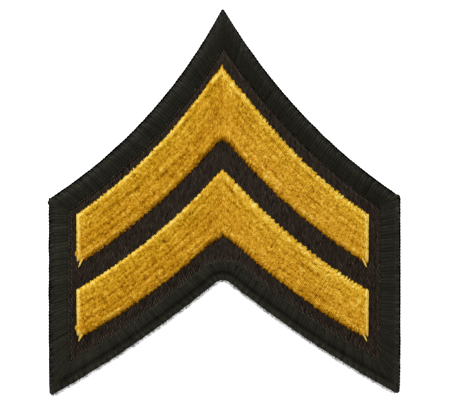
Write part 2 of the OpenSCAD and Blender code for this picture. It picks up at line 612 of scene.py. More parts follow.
@dataclass
class Spool:
    """Gathers swept strands and lofted bodies, and joins them in one mesh."""

    points: list[Array] = field(default_factory=list)
    tones: list[Array] = field(default_factory=list)
    warmths: list[Array] = field(default_factory=list)
    faces: list[Array] = field(default_factory=list)
    uvs: list[Array] = field(default_factory=list)
    count: int = 0

    def add(
        self, points: Array, tone: Array, warmth: Array, faces: list[Array], uvs: list[Array]
    ) -> None:
        """Keep a batch of points and the faces that join them.

        Args:
            points: The points, one a row.
            tone: The thread's tone at each point, from 0 to 1.
            warmth: How warm its colour is at each point, from 0 to 1.
            faces: Blocks of faces with as many corners each, as indices into points.
            uvs: For each block, the texture place of every corner.
        """
        self.points.append(points)
        self.tones.append(tone)
        self.warmths.append(warmth)
        self.faces += [block + self.count for block in faces]
        self.uvs += uvs
        self.count += len(points)

    def sweep(
        self,
        centre: Array,
        above: Array,
        half_w: Array | float,
        half_h: Array | float,
        tone: Array | float,
        sides: int = 8,
        warmth: Array | float = MEAN_WARMTH,
    ) -> None:
        """Sweep an oval section along many strands at once.

        Args:
            centre: Centre lines, as strand, ring and coordinate.
            above: Which way the strand's flat side faces, as the centre lines or broadcast.
            half_w: Half the strand's width, for each ring or for all.
            half_h: Half its height.
            tone: The tone, for each ring or for all.
            sides: Sides of the section.
            warmth: The warmth, for each ring or for all.
        """
        strands, rings = centre.shape[:2]
        shape = (strands, rings)
        along = unit(np.gradient(centre, axis=1))
        across = unit(np.cross(along, np.broadcast_to(above, centre.shape)))
        up = np.cross(across, along)
        phi = TAU * (np.arange(sides) + 0.5) / sides
        w = np.broadcast_to(half_w, shape)[..., None, None] * np.cos(phi)[:, None]
        h = np.broadcast_to(half_h, shape)[..., None, None] * np.sin(phi)[:, None]
        points = centre[:, :, None] + across[:, :, None] * w + up[:, :, None] * h
        index = np.arange(strands * rings * sides).reshape(strands, rings, sides)
        on = np.roll(index, -1, axis=2)
        walls = np.stack([index[:, :-1], index[:, 1:], on[:, 1:], on[:, :-1]], -1)
        caps = np.concatenate([index[:, 0], index[:, -1, ::-1]])
        step = np.linalg.norm(np.diff(centre, axis=1), axis=-1)
        run = np.concatenate([np.zeros((strands, 1)), np.cumsum(step, axis=1)], axis=1) / MM
        u = np.broadcast_to(run[:, :, None], index.shape)
        v = np.broadcast_to(np.arange(sides) / sides, index.shape)
        far = v + 1 / sides
        us = np.stack([u[:, :-1], u[:, 1:], u[:, 1:], u[:, :-1]], -1)
        vs = np.stack([v[:, :-1], v[:, 1:], far[:, 1:], far[:, :-1]], -1)
        wall_uv = np.stack([us, vs], -1).reshape(-1, 2)
        tones, warmths = (
            np.clip(np.repeat(np.broadcast_to(value, shape), sides), 0, 1)
            for value in (tone, warmth)
        )
        self.add(
            points.reshape(-1, 3),
            tones,
            warmths,
            [walls.reshape(-1, 4), caps],
            [wall_uv, np.zeros((caps.size, 2))],
        )

    def loft(self, rings: Array, is_closed: bool, tone: float) -> None:
        """Join rings of points into one closed body.

        Args:
            rings: The rings, counter-clockwise seen from above and in order from the seat
                over the outside to the top, as ring, point and coordinate.
            is_closed: Whether the last ring joins the first. Otherwise both are capped.
            tone: The body's tone.
        """
        index = np.arange(rings.shape[0] * rings.shape[1]).reshape(rings.shape[:2])
        rows = np.vstack([index, index[:1]]) if is_closed else index
        on = np.roll(rows, -1, axis=1)
        walls = np.stack([rows[:-1], on[:-1], on[1:], rows[1:]], -1).reshape(-1, 4)
        blocks = [walls] if is_closed else [walls, index[:1, ::-1], index[-1:]]
        flat = [np.zeros((block.size, 2)) for block in blocks]
        level = np.ones(index.size)
        self.add(rings.reshape(-1, 3), tone * level, MEAN_WARMTH * level, blocks, flat)

    def wind(self, name: str) -> bpy.types.Object:
        """Make one object of all that was gathered.

        Args:
            name: The object's name.

        Returns:
            The new object, linked to the scene.
        """
        mesh = bpy.data.meshes.new(name)
        corners = np.concatenate([block.reshape(-1) for block in self.faces])
        sizes = np.concatenate([np.full(len(b), b.shape[1]) for b in self.faces])
        mesh.vertices.add(self.count)
        mesh.vertices.foreach_set("co", np.concatenate(self.points).astype(np.float32).ravel())
        mesh.loops.add(len(corners))
        mesh.loops.foreach_set("vertex_index", corners.astype(np.int32))
        mesh.polygons.add(len(sizes))
        mesh.polygons.foreach_set("loop_start", (np.cumsum(sizes) - sizes).astype(np.int32))
        mesh.update(calc_edges=True)
        uv = mesh.uv_layers.new(name="strand")
        uv.data.foreach_set("uv", np.concatenate(self.uvs).astype(np.float32).ravel())
        for title, values in (("tone", self.tones), ("warmth", self.warmths)):
            layer = mesh.attributes.new(title, "FLOAT", "POINT")
            layer.data.foreach_set("value", np.concatenate(values).astype(np.float32))
        mesh.shade_smooth()
        piece = bpy.data.objects.new(name, mesh)
        bpy.context.scene.collection.objects.link(piece)
        triangles = int((sizes - 2).sum())
        LOG.info("%s: %d points, %d triangles", name, self.count, triangles)
        return piece


@dataclass
class NodeBench:
    """A material's node tree, with short calls that add to it."""

    name: str
    material: bpy.types.Material = field(init=False)
    tree: bpy.types.NodeTree = field(init=False)
    surface: bpy.types.Node = field(init=False)

    def __post_init__(self) -> None:
        """Start an empty material with its surface shader."""
        self.material = bpy.data.materials.new(self.name)
        self.material.use_nodes = True
        self.tree = self.material.node_tree
        self.tree.nodes.clear()
        self.surface = self.add("ShaderNodeBsdfPrincipled")
        output = self.add("ShaderNodeOutputMaterial")
        self.join(self.surface.outputs["BSDF"], output.inputs["Surface"])

    def add(self, kind: str, **settings: object) -> bpy.types.Node:
        """Add a node.

        Args:
            kind: The node's type.
            **settings: Properties to set on it.

        Returns:
            The node.
        """
        node = self.tree.nodes.new(kind)
        for key, value in settings.items():
            setattr(node, key, value)
        return node

    def join(self, source: bpy.types.NodeSocket, target: bpy.types.NodeSocket) -> None:
        """Link two sockets."""
        self.tree.links.new(source, target)

    def math(self, operation: str, a: object, b: object) -> bpy.types.NodeSocket:
        """Add a sum of two values, each a number or a socket.

        Args:
            operation: The math node's operation.
            a: The first value.
            b: The second value.

        Returns:
            The result.
        """
        node = self.add("ShaderNodeMath", operation=operation)
        for socket, value in zip(node.inputs, (a, b)):
            if isinstance(value, (int, float)):
                socket.default_value = value
            else:
                self.join(value, socket)
        return node.outputs[0]

    def noise(self, scale: float, detail: float = 2.0) -> bpy.types.NodeSocket:
        """Add a noise over the object's own coordinates.

        Args:
            scale: Its scale, per metre.
            detail: Its number of octaves.

        Returns:
            The noise's value.
        """
        coordinates = self.add("ShaderNodeTexCoord")
        node = self.add("ShaderNodeTexNoise")
        node.inputs["Scale"].default_value = scale
        node.inputs["Detail"].default_value = detail
        self.join(coordinates.outputs["Object"], node.inputs["Vector"])
        return node.outputs["Fac"]

    def blend(self, colours: Ramp, factor: object, warm: Colour, warmth: object) -> None:
        """Colour the surface by a ramp, and warm the colour in places.

        Args:
            colours: Stops of the ramp, as a place and a linear colour.
            factor: The socket that drives it.
            warm: What the colour is multiplied by where it is warmest.
            warmth: How warm it is, as a socket or a number.
        """
        ramp = self.add("ShaderNodeValToRGB")
        stops = ramp.color_ramp.elements
        while len(stops) < len(colours):
            stops.new(0.5)
        for stop, (place, colour) in zip(stops, colours):
            stop.position = place
            stop.color = (*colour, 1.0)
        self.join(factor, ramp.inputs["Fac"])
        shift = [self.math("MULTIPLY", warmth, part - 1) for part in warm]
        scale = self.add("ShaderNodeCombineXYZ")
        for part, socket in zip(shift, scale.inputs):
            self.join(self.math("ADD", part, 1), socket)
        product = self.add("ShaderNodeVectorMath", operation="MULTIPLY")
        self.join(ramp.outputs["Color"], product.inputs[0])
        self.join(scale.outputs["Vector"], product.inputs[1])
        self.join(product.outputs["Vector"], self.surface.inputs["Base Color"])

    def bump(self, height: object, depth: float, strength: float = 1.0) -> None:
        """Bump the surface.

        Args:
            height: The socket that gives the height, from 0 to 1.
            depth: The bump's depth in metres.
            strength: How strongly it shows.
        """
        node = self.add("ShaderNodeBump")
        node.inputs["Distance"].default_value = depth
        node.inputs["Strength"].default_value = strength
        self.join(height, node.inputs["Height"])
        self.join(node.outputs["Normal"], self.surface.inputs["Normal"])


@dataclass(frozen=True)
class ThreadFinish:
    """Twisted thread: a tone for each strand, plies that wind round it, and fine fibre."""

    name: str
    ramp: Ramp
    roughness: float
    specular: float
    ply_pitch: float
    ply_depth: float
    ply_count: int = 2
    tint: Colour = WHITE
    warm: Colour = WHITE
    mottle: float = 0.5
    mottle_scale: float = 1400.0
    fibre_scale: float = 9000.0
    fibre_share: float = 0.3

    def material(self) -> bpy.types.Material:
        """Build the finish.

        Returns:
            The material.
        """
        bench = NodeBench(self.name)
        tone = bench.add("ShaderNodeAttribute", attribute_name="tone").outputs["Fac"]
        mottle = bench.math("SUBTRACT", bench.noise(self.mottle_scale), 0.5)
        factor = bench.math("ADD", tone, bench.math("MULTIPLY", mottle, self.mottle))
        warmth = bench.add("ShaderNodeAttribute", attribute_name="warmth").outputs["Fac"]
        bench.blend(self.ramp, factor, self.warm, warmth)
        place = bench.add("ShaderNodeSeparateXYZ")
        uv = bench.add("ShaderNodeUVMap", uv_map="strand")
        bench.join(uv.outputs["UV"], place.inputs["Vector"])
        turns = bench.math("MULTIPLY", place.outputs["X"], MM / self.ply_pitch)
        turns = bench.math("ADD", turns, place.outputs["Y"])
        swing = bench.math("SINE", bench.math("MULTIPLY", turns, self.ply_count * TAU), 0)
        plies = bench.math("ADD", bench.math("MULTIPLY", swing, 0.5), 0.5)
        fibre = bench.math("MULTIPLY", bench.noise(self.fibre_scale), self.fibre_share)
        bench.bump(bench.math("ADD", plies, fibre), self.ply_depth)
        surface = bench.surface
        surface.inputs["Roughness"].default_value = self.roughness
        # The gloss follows the tone, so that painted shade also dims the highlights and painted
        # light brightens them.
        gloss = bench.math("MULTIPLY", tone, 2 * self.specular)
        bench.join(gloss, surface.inputs["Specular IOR Level"])
        surface.inputs["Specular Tint"].default_value = (*self.tint, 1.0)
        return bench.material


@dataclass(frozen=True)
class TwillFinish:
    """Plain side of the twill: fine diagonal ribs over a matt black."""

    name: str
    ramp: Ramp
    rib_pitch: float
    rib_lean: float
    roughness: float = 0.85
    specular: float = 0.3
    rib_depth: float = 0.05 * MM
    rib_share: float = 0.5
    mottle_scale: float = 2600.0

    def material(self) -> bpy.types.Material:
        """Build the finish.

        Returns:
            The material.
        """
        bench = NodeBench(self.name)
        coordinates = bench.add("ShaderNodeTexCoord")
        place = bench.add("ShaderNodeSeparateXYZ")
        bench.join(coordinates.outputs["Object"], place.inputs["Vector"])
        turns = TAU / self.rib_pitch
        x = bench.math("MULTIPLY", place.outputs["X"], turns * math.sin(self.rib_lean))
        y = bench.math("MULTIPLY", place.outputs["Y"], turns * math.cos(self.rib_lean))
        ribs = bench.math("SINE", bench.math("ADD", x, y), 0)
        grain = bench.noise(self.mottle_scale)
        bench.blend(self.ramp, grain, WHITE, 0)
        height = bench.math("ADD", bench.math("MULTIPLY", ribs, self.rib_share), grain)
        bench.bump(height, self.rib_depth)
        bench.surface.inputs["Roughness"].default_value = self.roughness
        bench.surface.inputs["Specular IOR Level"].default_value = self.specular
        return bench.material


@dataclass(frozen=True)
class FloorFinish:
    """A white sheet that glows a little, so that it stays white under the patch."""

    name: str = "white_floor"
    colour: Colour = (0.9, 0.9, 0.9)
    roughness: float = 0.9
    glow: float = 0.75

    def material(self) -> bpy.types.Material:
        """Build the finish.

        Returns:
            The material.
        """
        bench = NodeBench(self.name)
        bench.surface.inputs["Base Color"].default_value = (*self.colour, 1.0)
        bench.surface.inputs["Roughness"].default_value = self.roughness
        bench.surface.inputs["Emission Color"].default_value = (*WHITE, 1.0)
        bench.surface.inputs["Emission Strength"].default_value = self.glow
        return bench.material


GOLD_THREAD = ThreadFinish(
    name="gold_thread_finish",
    ramp=(
        (0.0, (0.05, 0.021, 0.0002)),
        (0.25, (0.31, 0.134, 0.0006)),
        (0.5, (0.572, 0.289, 0.0045)),
        (0.75, (0.77, 0.465, 0.03)),
        (1.0, (0.93, 0.71, 0.16)),
    # The palest stop, near white, is painted highlight colour, reached by the brightest tones.
    ),
    roughness=0.38,
    specular=0.5,
    ply_pitch=0.9 * MM,
    ply_depth=0.02 * MM,
    tint=(1.0, 0.72, 0.2),
    warm=(0.95, 0.84, 0.8),
)
BLACK_YARN = ThreadFinish(
    name="black_yarn_finish",
    ramp=(
        (0.0, (0.0024, 0.0020, 0.0013)),
        (0.5, (0.0095, 0.0091, 0.0062)),
        (1.0, (0.032, 0.030, 0.0205)),
    ),
    roughness=0.55,
    specular=0.13,
    ply_pitch=1.6 * MM,
    ply_depth=0.02 * MM,
    tint=(1.0, 0.97, 0.75),
)
# A duller copy of the yarn for the purl and the fuzz, so that no highlight lights the purl's
# painted shade.
PURL_YARN = replace(BLACK_YARN, name="purl_yarn_finish", specular=0.02, roughness=0.8)
NEEDLE_THREAD = replace(
    BLACK_YARN,
    name="needle_thread_finish",
    ramp=(
        (0.0, (0.008, 0.0072, 0.005)),
        (0.5, (0.022, 0.0202, 0.014)),
        (1.0, (0.045, 0.042, 0.03)),
    ),
)
WARP_THREAD = ThreadFinish(
    name="twill_warp_finish",
    ramp=(
        (0.0, (0.010, 0.0060, 0.0035)),
        (0.5, (0.022, 0.0132, 0.0075)),
        (1.0, (0.042, 0.028, 0.018)),
    ),
    roughness=0.6,
    specular=0.2,
    ply_pitch=0.5 * MM,
    ply_depth=0.01 * MM,
    tint=(1.0, 0.85, 0.65),
)
TWILL_BACK = TwillFinish(
    name="twill_cloth_finish",
    ramp=((0.3, (0.008, 0.006, 0.004)), (0.7, (0.016, 0.012, 0.009))),
    rib_pitch=RIB_PITCH,
    rib_lean=RIB_LEAN,
)


def dress(piece: bpy.types.Object, finish: ThreadFinish | TwillFinish) -> None:
    """Give a piece its finish and seat it on the patch.

    Args:
        piece: The piece.
        finish: Its finish.
    """
    piece.data.materials.append(finish.material())
    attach(piece, "root")


@dataclass
class GroundCloth:
    """Black twill: a plain panel under warp floats, which show in the strips."""

    plan: PatchPlan
    warp: float = 0.28 * MM
    rib_pitch: float = RIB_PITCH
    rib_lean: float = RIB_LEAN
    float_share: float = 0.82
    float_w: float = 0.3 * MM
    float_h: float = 0.11 * MM
    nap: float = 0.1 * MM
    tuck: float = 0.4 * MM
    # Floats within this width of the border are painted lighter, which lifts the shade in the gap
    # beside it.
    border_lit_w: float = 0.7 * MM
    border_painted_light: float = 0.35
    stray: float = 0.02 * MM
    lean: float = 0.05
    height_spread: float = 0.12
    tone: float = 0.5
    tone_spread: float = 0.19
    sides: int = 5
    seed: int = 11

    # A float's rings: the place along it, as a share of its length, the rise and the girth.
    FLOAT = np.array(
        [
            (-0.5, -0.5, 0.45),
            (-0.36, 0.6, 0.9),
            (0.0, 1.0, 1.0),
            (0.36, 0.6, 0.9),
            (0.5, -0.5, 0.45),
        ]
    )

    def panel(self) -> bpy.types.Object:
        """Build the panel between the floats and the underside.

        Returns:
            The panel.
        """
        plan, spool = self.plan, Spool()
        ring = plan.rim.ring(plan.rim_w)
        levels = (plan.yarn_h, plan.cloth_top - self.nap)
        spool.loft(np.stack([plan.lift(ring, z) for z in levels]), False, self.tone)
        return spool.wind("twill_panel")

    def is_shown(self, places: Array) -> Array:
        """Test which plan points lie in the strips of cloth that show.

        Args:
            places: Plan points, one a row.

        Returns:
            A boolean for each.
        """
        shown = inside(places, self.plan.rim.ring(self.plan.border_w - self.tuck))
        for number in (0, 1):
            shown &= ~inside(places, self.plan.chevron_outline(number).ring(self.tuck))
        return shown

    def places(self, repeat: float, rng: np.random.Generator) -> Array:
        """Place the floats, each column set off from its neighbour so that ribs form.

        Args:
            repeat: The distance from one float to the next in a column.
            rng: The random generator.

        Returns:
            The middles of those that show, one a row.
        """
        ring = self.plan.rim.ring(0)
        low, high = ring.min(0), ring.max(0)
        columns = np.arange(round(low[0] / self.warp), round(high[0] / self.warp) + 1)
        rows = np.arange(math.floor(low[1] / repeat), math.ceil(high[1] / repeat) + 1)
        column, row = (grid.ravel() for grid in np.meshgrid(columns, rows))
        set_off = -column * self.warp * math.tan(self.rib_lean) % repeat
        places = np.stack([column * self.warp, row * repeat + set_off], -1)
        places = places + rng.normal(0, self.stray, places.shape)
        return places[self.is_shown(places)]

    def floats(self) -> bpy.types.Object:
        """Weave the warp floats over the panel.

        Returns:
            The floats as one piece.
        """
        plan, rng = self.plan, np.random.default_rng(self.seed)
        repeat = self.rib_pitch / math.cos(self.rib_lean)
        places = self.places(repeat, rng)
        count = len(places)
        along, rise, girth = self.FLOAT.T
        along = along * repeat * self.float_share
        lean = rng.normal(0, self.lean, count)[:, None]
        x = places[:, :1] + along * lean
        y = places[:, 1:] + along
        height = self.float_h * rng.normal(1, self.height_spread, count)[:, None]
        # Painted light on the floats beside the border, which lifts the shade that falls in the
        # gap there.
        is_near = ~inside(places, plan.rim.ring(plan.border_w + self.border_lit_w))
        tone = rng.normal(self.tone, self.tone_spread, count) + self.border_painted_light * is_near
        base = plan.cloth_top - self.nap
        spool = Spool()
        spool.sweep(
            plan.lift(np.stack([x, y], -1), base + (rise - 0.5) * height),
            UP,
            self.float_w / 2 * girth[None],
            height / 2 * girth,
            tone[:, None],
            sides=self.sides,
        )
        return spool.wind("twill_weave")

    def build(self) -> None:
        panel, weave = self.panel(), self.floats()
        dress(panel, TWILL_BACK)
        dress(weave, WARP_THREAD)
        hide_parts(Node.CLOTH.value)
        ring = self.plan.rim.ring(self.plan.rim_w)


@dataclass(frozen=True)
class Ear:
    """A place on the rim where the yarn piles up and stands out, in millimetres.

    The part is one of the rim's corners and curves in turn, and along says how far on
    from its middle the ear lies.
    """

    part: int
    along: float
    right: float
    up: float


@dataclass
class MerrowedEdge:
    """Yarn wound round the cloth's edge, with a purl along the rim and a needle line inside."""

    plan: PatchPlan
    pitch: float = 1.45 * MM
    fan_at: float = 0.8
    fan_most: float = 2.5
    fan_steps: int = 6001
    fan_soft: int = 25
    slant: float = 0.45
    splay: float = 0.10
    stray: float = 0.02
    blend_w: float = 1.5 * MM
    yarn_w: float = 1.05 * MM
    yarn_t: float = 0.3 * MM
    yarn_spread: float = 0.04
    yarn_sides: int = 7
    top_from: float = 0.5
    level_spread: float = 0.008
    tone: float = 0.5
    tone_spread: float = 0.045
    least_crowd: float = 0.25
    most_crowd: float = 1.7
    overlap: float = 1.1
    crease_at: float = 0.43
    crease_w: float = 0.10
    crease_depth: float = 0.07
    crease_shade: float = 0.3
    knot_at: float = 0.15
    knot_w: float = 0.07
    knot_lift: float = 0.03
    knot_spread: float = 0.4
    knot_slim: float = 0.25
    knot_tone: float = 0.08
    foot_painted_light: float = 0.16
    brim_at: float = 0.08
    brim_w: float = 0.045
    brim_shade: float = 0.5
    ear_w: float = 1.2 * MM
    core_tone: float = 0.05
    purl_r: float = 0.12 * MM
    purl_w: float = 0.36 * MM
    purl_swell: float = 0.12
    purl_in: float = 0.14 * MM
    purl_level: float = 0.45
    purl_drift: float = 0.05 * MM
    purl_rings: int = 14
    purl_calm: float = 0.5
    # The purl's tone, near black, is painted shade along the rim.
    purl_shade_tone: float = 0.05
    foot_purl_in: float = 0.52 * MM
    foot_purl_level: float = 0.72
    foot_purl_light: float = 0.7
    bead_in: float = 4.42 * MM
    bead_level: float = 0.80
    bead_w: float = 0.66 * MM
    bead_h: float = 0.26 * MM
    bead_lean: float = 0.22 * MM
    bead_spread: float = 0.12
    bead_faces: float = 0.7
    bead_sides: int = 6
    girth_spread: float = 0.08
    fuzz_per_mm: float = 30.0
    fuzz_w: float = 0.045 * MM
    fuzz_reach: float = 0.52 * MM
    fuzz_tone: float = 0.2
    fuzz_lean: float = 0.45
    fuzz_curl: float = 0.6
    fuzz_even: float = 0.8
    fuzz_low: float = 0.25
    fuzz_high: float = 0.75
    fuzz_drop: float = 0.5
    fuzz_taper: float = 0.6
    fuzz_rings: int = 5
    fuzz_sides: int = 3
    seed: int = 23

    around: float = field(init=False)
    count: int = field(init=False)
    starts: Array = field(init=False)

    # Which of the six edges are the lower ones, from the left upper edge round.
    IS_FOOT = np.array([0, 0, 1, 1, 0, 0])
    # How much brighter or darker each edge looks, as it leans to the light or away: its
    # outer part, its inner part and its needle line.
    SHADE = np.array(
        [
            (0.0, -0.06, -0.08),
            (0.0, 0.0, 0.08),
            (0.0, 0.0, 0.12),
            (0.0, -0.04, 0.12),
            (0.2, -0.05, -0.08),
            (0.05, -0.16, -0.3),
        ]
    )
    # The ears at the left and the right shoulder.
    EARS = (
        Ear(part=2, along=0.5, right=-0.62, up=-0.1),
        Ear(part=10, along=-0.2, right=0.0, up=0.7),
    )
    # Where in a stitch its two lengths of yarn lie, and which way each is splayed.
    STRANDS = ((0.25, 1.0), (0.75, -1.0))
    # The yarn's middle, from the needle line over the top and round the rim to the
    # underside. Shares of border_w from the rim, and of edge_t.
    WRAP = np.array(
        [
            (1.02, 0.72),
            (0.985, 0.785),
            (0.94, 0.825),
            (0.84, 0.86),
            (0.68, 0.895),
            (0.50, 0.925),
            (0.38, 0.925),
            (0.28, 0.87),
            (0.20, 0.82),
            (0.14, 0.79),
            (0.105, 0.70),
            (0.090, 0.57),
            (0.088, 0.42),
            (0.10, 0.26),
            (0.14, 0.14),
            (0.22, 0.08),
            (0.50, 0.07),
            (0.80, 0.07),
            (0.96, 0.10),
            (1.02, 0.20),
        ]
    )
    WRAP_RINGS = 30
    # Where along the yarn the shade of the outer part fades out, that of the inner part
    # comes in, and the light before the crease fades. Shares of border_w from the rim.
    OUTER_FADES = (0.2, 0.4)
    INNER_COMES = (0.3, 0.5)
    CREASE_FADES = (0.28, 0.43)
    # The dark body under the yarn, from the slot's foot round the outside to its top.
    CORE = np.array(
        [
            (0.98, 0.10),
            (0.20, 0.10),
            (0.10, 0.22),
            (0.055, 0.40),
            (0.055, 0.52),
            (0.10, 0.68),
            (0.20, 0.77),
            (0.40, 0.80),
            (0.80, 0.80),
            (0.97, 0.795),
        ]
    )
    # A needle stitch's rings: the place along it, in stitches, the rise and the girth.
    BEAD = np.array(
        [
            (-0.24, -1.2, 0.5),
            (-0.21, 0.0, 0.8),
            (-0.13, 0.75, 1.0),
            (0.0, 1.0, 1.05),
            (0.13, 0.75, 1.0),
            (0.21, 0.0, 0.8),
            (0.24, -1.2, 0.5),
        ]
    )

    def __post_init__(self) -> None:
        """Count the stitches round the rim, and note how far along it each one starts.

        They lie closer in the notch, where the edge fans out inside.
        """
        self.around = float(self.plan.rim.lengths().sum())
        marks = np.linspace(0, self.around, self.fan_steps)
        step = marks[1] - marks[0]
        inner = self.plan.rim.place(marks, self.fan_at * self.plan.border_w)
        spread = np.linalg.norm(np.diff(inner, axis=0), axis=1) / step
        spread = np.clip(spread, 1, self.fan_most)
        window = np.ones(2 * self.fan_soft + 1) / (2 * self.fan_soft + 1)
        spread = np.convolve(np.pad(spread, self.fan_soft, mode="edge"), window, "valid")
        ticks = np.append(0, np.cumsum(spread))
        self.count = round(float(ticks[-1]) * step / self.pitch)
        self.starts = np.interp(np.arange(self.count + 1) / self.count, ticks / ticks[-1], marks)

    def run(self, stitch: Array) -> Array:
        """Turn places counted in stitches from the peak into distances along the rim."""
        turns, rest = np.divmod(stitch, self.count)
        return turns * self.around + np.interp(rest, np.arange(self.count + 1), self.starts)

    def blend(self, run: Array, values: Array) -> Array:
        """Blend a value for each of the six edges into one that runs along the rim.

        Args:
            run: Distances along the rim.
            values: The values, from the left upper edge round to the right upper one.

        Returns:
            The value at each distance.
        """
        ends = np.cumsum(self.plan.rim.lengths())
        marks = np.stack([ends[0::2] + self.blend_w, ends[1::2] - self.blend_w], -1).ravel()
        return np.interp(run, marks, np.repeat(values, 2), period=self.around)

    def pushed_out(self, run: Array) -> Array:
        """Push the yarn out a little where it piles up at the two shoulders.

        Args:
            run: Distances along the rim.

        Returns:
            How far the rim's plan points move.
        """
        lengths = self.plan.rim.lengths()
        ends = np.cumsum(lengths)
        moved = np.zeros((*run.shape, 2))
        for ear in self.EARS:
            middle = ends[ear.part] - lengths[ear.part] / 2 + ear.along * MM
            near = bell(run, middle, self.ear_w)[..., None]
            moved += near * np.array([ear.right, ear.up]) * MM
        return moved

    def crowding(self, centre: Array, half_w: Array) -> Array:
        """Narrow the yarn where its neighbours crowd it, and widen it where they fan out.

        Args:
            centre: Centre lines of a strand for each stitch.
            half_w: Half widths to fit.

        Returns:
            The half widths, for each strand and ring.
        """
        gap = np.linalg.norm(centre - np.roll(centre, 1, axis=0), axis=-1)
        share = (gap + np.roll(gap, -1, axis=0)) / 2 / self.pitch
        return half_w * np.clip(share * self.overlap, self.least_crowd, self.most_crowd)

    def outward(self, centre: Array) -> Array:
        """Find which way the yarn's flat side faces, away from the middle of the edge.

        Args:
            centre: Centre lines, as strand, ring and coordinate.

        Returns:
            A vector for each point.
        """
        along = unit(np.gradient(centre, axis=1))
        forward = unit(np.roll(centre, -1, axis=0) - centre)
        return unit(np.cross(forward, along))

    def wraps(self, spool: Spool) -> None:
        """Wind two lengths of yarn round the edge for each stitch.

        Args:
            spool: Where to gather them.
        """
        plan, rng = self.plan, np.random.default_rng(self.seed)
        count = self.count
        share, level = smooth_through(self.WRAP, self.WRAP_RINGS).T
        is_top = level > self.top_from
        crease = bell(share, self.crease_at, self.crease_w) * is_top
        knot = bell(share, self.knot_at, self.knot_w) * is_top
        brim = bell(share, self.brim_at, self.brim_w)
        near_rim = np.interp(share, self.OUTER_FADES, (1, 0))
        near_needle = np.interp(share, self.INNER_COMES, (0, 1))
        before_crease = np.interp(share, self.CREASE_FADES, (1, 0))
        for strand, way in self.STRANDS:
            base = np.arange(count) + strand + rng.normal(0, self.stray, count)
            lean = self.slant * (1 - share) + way * self.splay * (share - 0.5)
            run = self.run(base[:, None] + lean)
            rings = [plan.rim.place(at, part * plan.border_w) for at, part in zip(run.T, share)]
            flat = np.stack(rings, 1) + self.pushed_out(run) * (1 - share)[:, None]
            foot = self.blend(run, self.IS_FOOT)
            sink = crease * self.crease_depth * foot
            lift = knot * way * self.knot_lift * rng.normal(1, self.knot_spread, (count, 1))
            rise = rng.normal(0, self.level_spread, (count, 1)) * is_top
            centre = plan.lift(flat, (level - sink + lift + rise) * plan.edge_t)
            width = self.yarn_w / 2 * (1 - self.knot_slim * knot)
            width = width * rng.normal(1, self.yarn_spread, (count, 1))
            # Painted shade in the crease of the lower edges.
            tone = self.tone + self.knot_tone * knot * way - self.crease_shade * crease * foot
            # Painted shade on the outer shoulder of the upper and side edges.
            tone = tone - self.brim_shade * brim * (1 - foot)
            # Painted light on the lower edges' outer slope before the crease, which faces the
            # light.
            tone = tone + self.foot_painted_light * foot * before_crease
            tone = tone + self.blend(run, self.SHADE[:, 0]) * near_rim
            tone = tone + self.blend(run, self.SHADE[:, 1]) * near_needle
            tone = tone + rng.normal(0, self.tone_spread, (count, 1))
            tone = tone + knot * rng.normal(0, self.knot_tone, (count, 1))
            spool.sweep(
                centre,
                self.outward(centre),
                self.crowding(centre, width),
                self.yarn_t / 2,
                tone,
                sides=self.yarn_sides,
            )

    def core(self, spool: Spool) -> None:
        """Build the dark body that fills the edge under the yarn.

        Args:
            spool: Where to gather it.
        """
        plan = self.plan
        slot_end = (plan.rim_w - plan.clearance) / plan.border_w
        slot_top = (plan.cloth_top + plan.clearance / 2) / plan.edge_t
        slot_foot = (plan.yarn_h - plan.clearance / 2) / plan.edge_t
        foot_end, top_end = self.CORE[0, 0], self.CORE[-1, 0]
        slot = [
            (top_end, slot_top),
            (slot_end, slot_top),
            (slot_end, slot_foot),
            (foot_end, slot_foot),
        ]
        rings = [
            plan.lift(plan.rim.ring(share * plan.border_w), level * plan.edge_t)
            for share, level in np.vstack([self.CORE, slot])
        ]
        spool.loft(np.stack(rings), True, self.core_tone)

    def purl(self, spool: Spool) -> None:
        """Twist two lengths of yarn into the purl that runs along the rim.

        Args:
            spool: Where to gather it.
        """
        plan, rng = self.plan, np.random.default_rng(self.seed + 1)
        stitch = np.arange(self.count * self.purl_rings + 1) / self.purl_rings
        run = self.run(stitch)
        foot = self.blend(run, self.IS_FOOT)
        level = self.purl_level + (self.foot_purl_level - self.purl_level) * foot
        inset = self.purl_in + (self.foot_purl_in - self.purl_in) * foot
        base = plan.rim.place(run, self.foot_purl_in)
        inward = unit(plan.rim.place(run, 2 * self.foot_purl_in) - base)
        hub = plan.lift(base + inward * (inset - self.foot_purl_in)[:, None], level * plan.edge_t)
        across = np.concatenate([inward, np.zeros((len(run), 1))], -1)
        drift = rng.normal(0, self.purl_drift, self.count)
        drift = np.interp(stitch, np.arange(self.count + 1), np.append(drift, drift[0]))
        hub = hub + across * (drift * (self.purl_calm + foot))[:, None]
        # The purl is painted near black as shade along the rim, and painted lighter on the lower
        # edges.
        tone = self.purl_shade_tone + self.foot_purl_light * foot
        for phase in (0.0, math.pi):
            swing = TAU * stitch + phase
            centre = hub + across * (self.purl_r * np.cos(swing))[:, None]
            centre[:, 2] += self.purl_r * np.sin(swing)
            width = self.purl_w / 2 * (1 + self.purl_swell * np.cos(2 * swing))
            spool.sweep(centre[None], (centre - hub)[None], width, self.yarn_t / 2, tone)

